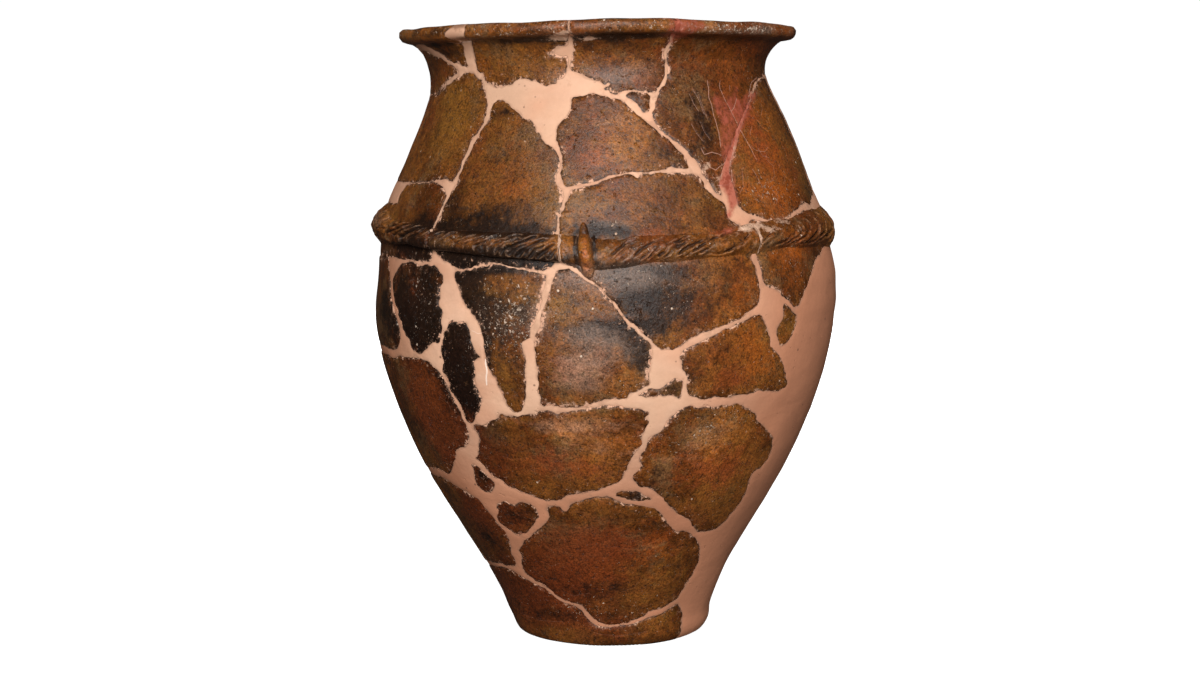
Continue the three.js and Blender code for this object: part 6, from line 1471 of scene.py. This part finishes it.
# ---- lug -------------------------------------------------------------------------
nu, nv = 41, 91
x = np.linspace(-5.2, 4.85, nu)[:, None] * np.ones((1, nv)); zc = 177.6
zz = np.linspace(160.4, 191.2, nv)[None, :] * np.ones((nu, 1))
w = (zz - zc) / 11.0
lean = -.045 * (zz - zc)
half = (2.75 * np.clip(1 - w**2, 0, 1) ** .40 * (1 - .14 * w) + 1e-3)
u = (x - lean) / half
dome = np.clip(1 - np.abs(u) ** 2.6, 0, 1) ** .62
crest = np.clip(1 - w**2, 0, 1) ** .42
P = outer((x / 100 - 4.4 * DEG).ravel(), s_of_z(zz.ravel())).reshape(nu, nv, 3)
base, _ = cordon_height((x / 100 / DEG - 4.4).ravel(), zz.ravel(), P.reshape(-1, 3)); base = base.reshape(nu, nv)
rough = .40 * vnoise(P, 3.5, 101) + .26 * vnoise(P, 1.7, 102)
swell = np.clip(base, 0, 9)
within_lug = np.clip(1 - np.maximum(abs(u) - 1.0, 0) / .35, 0, 1) * (crest > 0)
h = np.maximum(base, -.9 + 1.5 * within_lug) + .02 + (3.3 * crest + rough * crest) * dome
h = h - .35 * np.exp(-((np.abs(u) - 1.07) / .13) ** 2) * smooth(0, .35, crest) * smooth(-.45, -.05, w)
h = h + .5 * np.exp(-((x - 3.6) / .9) ** 2 - ((zz - 182.0) / 3.0) ** 2)
side = np.minimum(smooth(0, .5, x + 5.2), smooth(0, .5, 4.85 - x))
over = smooth(-.2, .1, (zz - 170) / 10) * (1 - smooth(.0, 1.6, zz - 188.1))
ends = smooth(0, 1.6, zz - 160.4) * smooth(0, 1.6, 191.2 - zz)
h = h * ends - .8 * (1 - ends)
# dark line round the lug's edge, passed on as the groove mark: painted shadow of its undercut sides
g = np.exp(-((np.abs(u) - 1.05) / .16) ** 2) * smooth(0, .35, crest) * .32 * smooth(-.4, 0, w)
slab("lug_front_piece", x / 100 - 4.4 * DEG, s_of_z(zz), h, .9, np.full((nu, nv), 20.0), g, clay, "lug_front")

# ---- floor of the vase ---------------------------------------------------------------
lo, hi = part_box("floor_disc")
cxd, cyd = (lo.x + hi.x) / 2 * 1000, (lo.y + hi.y) / 2 * 1000
R, z0, z1 = (hi.x - lo.x) / 2 * 1000, lo.z * 1000, hi.z * 1000
prof = [(0, z1)] + [(r, z1) for r in np.arange(2, R - 1.2, 2)] + [(R - .8, z1 - .02), (R - .2, z1 - .35), (R, z1 - .9), (R + .05, (z0 + z1) / 2), (R, z0 + .9), (R - .3, z0 + .3), (R - 1, z0 + .05)]
prof += [(r, z0) for r in np.arange(R - 3, 1, -2)] + [(0, z0)]
m = 120
ang = np.linspace(0, 2 * math.pi, m, endpoint=False)
co, rows = [], []
for r, z in prof:
    if r == 0:
        rows.append([len(co)] * m); co.append((cxd, cyd, z))
    else:
        i = len(co)
        co += [(cxd + r * math.sin(q), cyd - r * math.cos(q), z) for q in ang]
        rows.append(list(range(i, i + m)))
co = np.array(co)
n = fbm(co, 14, 3, 111)
up = co[:, 2] > (z0 + z1) / 2 + 2
co[:, 2] += np.where(up, .5 * n - .25, .12 * (n + 1) * (co[:, 2] < z0 + .2))
tris, quads = [], []
for a, b in zip(rows[:-1], rows[1:]):
    for k in range(m):
        loop = [a[k], b[k], b[(k + 1) % m], a[(k + 1) % m]]
        loop = [v for j, v in enumerate(loop) if v not in loop[:j]]
        (quads if len(loop) == 4 else tris).append(loop)
n = len(co)
T = {k: np.zeros(n) for k in "KOLRGSMBZPD"}
T["K"] = .5 * smooth(0, .4, fbm(co, 20, 2, 112)); T["R"] = .5 * smooth(0, .4, fbm(co, 25, 2, 113))
disc = make_mesh("floor_disc_piece", co, tris, quads, pack(T, np.full(n, 20.0), np.full(n, -30.0), np.zeros(n), up.astype(float), np.zeros(n)), clay)
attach(disc, "root"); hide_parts("floor_disc")

# ---- stage, light, camera ----------------------------------------------------------
bpy.ops.mesh.primitive_plane_add(size=24, location=(0, 6, 0))
floor = bpy.context.object; floor.name = "stage_floor"
fm = bpy.data.materials.new("pale_floor"); fm.use_nodes = True
fb = fm.node_tree.nodes["Principled BSDF"]
fb.inputs["Base Color"].default_value = (.60, .60, .60, 1); fb.inputs["Roughness"].default_value = .9
fb.inputs["Specular IOR Level"].default_value = 0.0
fb.inputs["Emission Color"].default_value = (1, 1, 1, 1); fb.inputs["Emission Strength"].default_value = .93
# whiter away from the foot, so the sweep has no visible end
ft = fm.node_tree; fgeo = ft.nodes.new("ShaderNodeNewGeometry"); flen = ft.nodes.new("ShaderNodeVectorMath"); flen.operation = "LENGTH"
fmr = ft.nodes.new("ShaderNodeMapRange")
for key, val in (("From Min", .10), ("From Max", .55), ("To Min", .90), ("To Max", 1.03)):
    fmr.inputs[key].default_value = val
ft.links.new(fgeo.outputs["Position"], flen.inputs[0]); ft.links.new(flen.outputs["Value"], fmr.inputs["Value"]); ft.links.new(fmr.outputs["Result"], fb.inputs["Emission Strength"])
floor.data.materials.append(fm)
floor.visible_diffuse = False; floor.visible_glossy = False

world = bpy.data.worlds.new("studio"); bpy.context.scene.world = world; world.use_nodes = True
wt = world.node_tree
bg = wt.nodes["Background"]; bg.inputs["Color"].default_value = (1.0, .92, .84, 1); bg.inputs["Strength"].default_value = .15
bg2 = wt.nodes.new("ShaderNodeBackground"); bg2.inputs["Color"].default_value = (1, 1, 1, 1); bg2.inputs["Strength"].default_value = 1.03
lp = wt.nodes.new("ShaderNodeLightPath"); mx = wt.nodes.new("ShaderNodeMixShader")
wt.links.new(lp.outputs["Is Camera Ray"], mx.inputs[0]); wt.links.new(bg.outputs[0], mx.inputs[1]); wt.links.new(bg2.outputs[0], mx.inputs[2])
bg3 = wt.nodes.new("ShaderNodeBackground"); bg3.inputs["Color"].default_value = (1.0, .92, .84, 1); bg3.inputs["Strength"].default_value = .03
m2 = wt.nodes.new("ShaderNodeMixShader")
wt.links.new(lp.outputs["Is Glossy Ray"], m2.inputs[0]); wt.links.new(mx.outputs[0], m2.inputs[1]); wt.links.new(bg3.outputs[0], m2.inputs[2])
wt.links.new(m2.outputs[0], wt.nodes["World Output"].inputs["Surface"])


def lamp(name, watts, size, at, look, tall=None):
    l = bpy.data.lights.new(name, "AREA"); l.energy = watts; l.size = size
    if tall:
        l.shape = "RECTANGLE"; l.size_y = tall
    o = bpy.data.objects.new(name, l); bpy.context.scene.collection.objects.link(o)
    o.location = at; o.rotation_euler = (Vector(look) - Vector(at)).to_track_quat("-Z", "Y").to_euler()
    return o


lamp("key", 20, .30, (-.04, -1.20, .62), (0, 0, .15), .62)
lamp("back", 16, .9, (.10, 1.3, .55), (0, 0, .13)).visible_glossy = False
lamp("side", 1.8, .7, (1.15, -.35, .35), (.05, 0, .16)).visible_glossy = False
cam = bpy.data.cameras.new("camera"); cam.lens = 63; cam.sensor_width = 36
co = bpy.data.objects.new("camera", cam); bpy.context.scene.collection.objects.link(co)
co.location = (-.002251, -.936911, .237612); co.rotation_euler = (math.radians(83.2), 0, 0)
bpy.context.scene.camera = co
bpy.context.scene.view_settings.view_transform = "Standard"
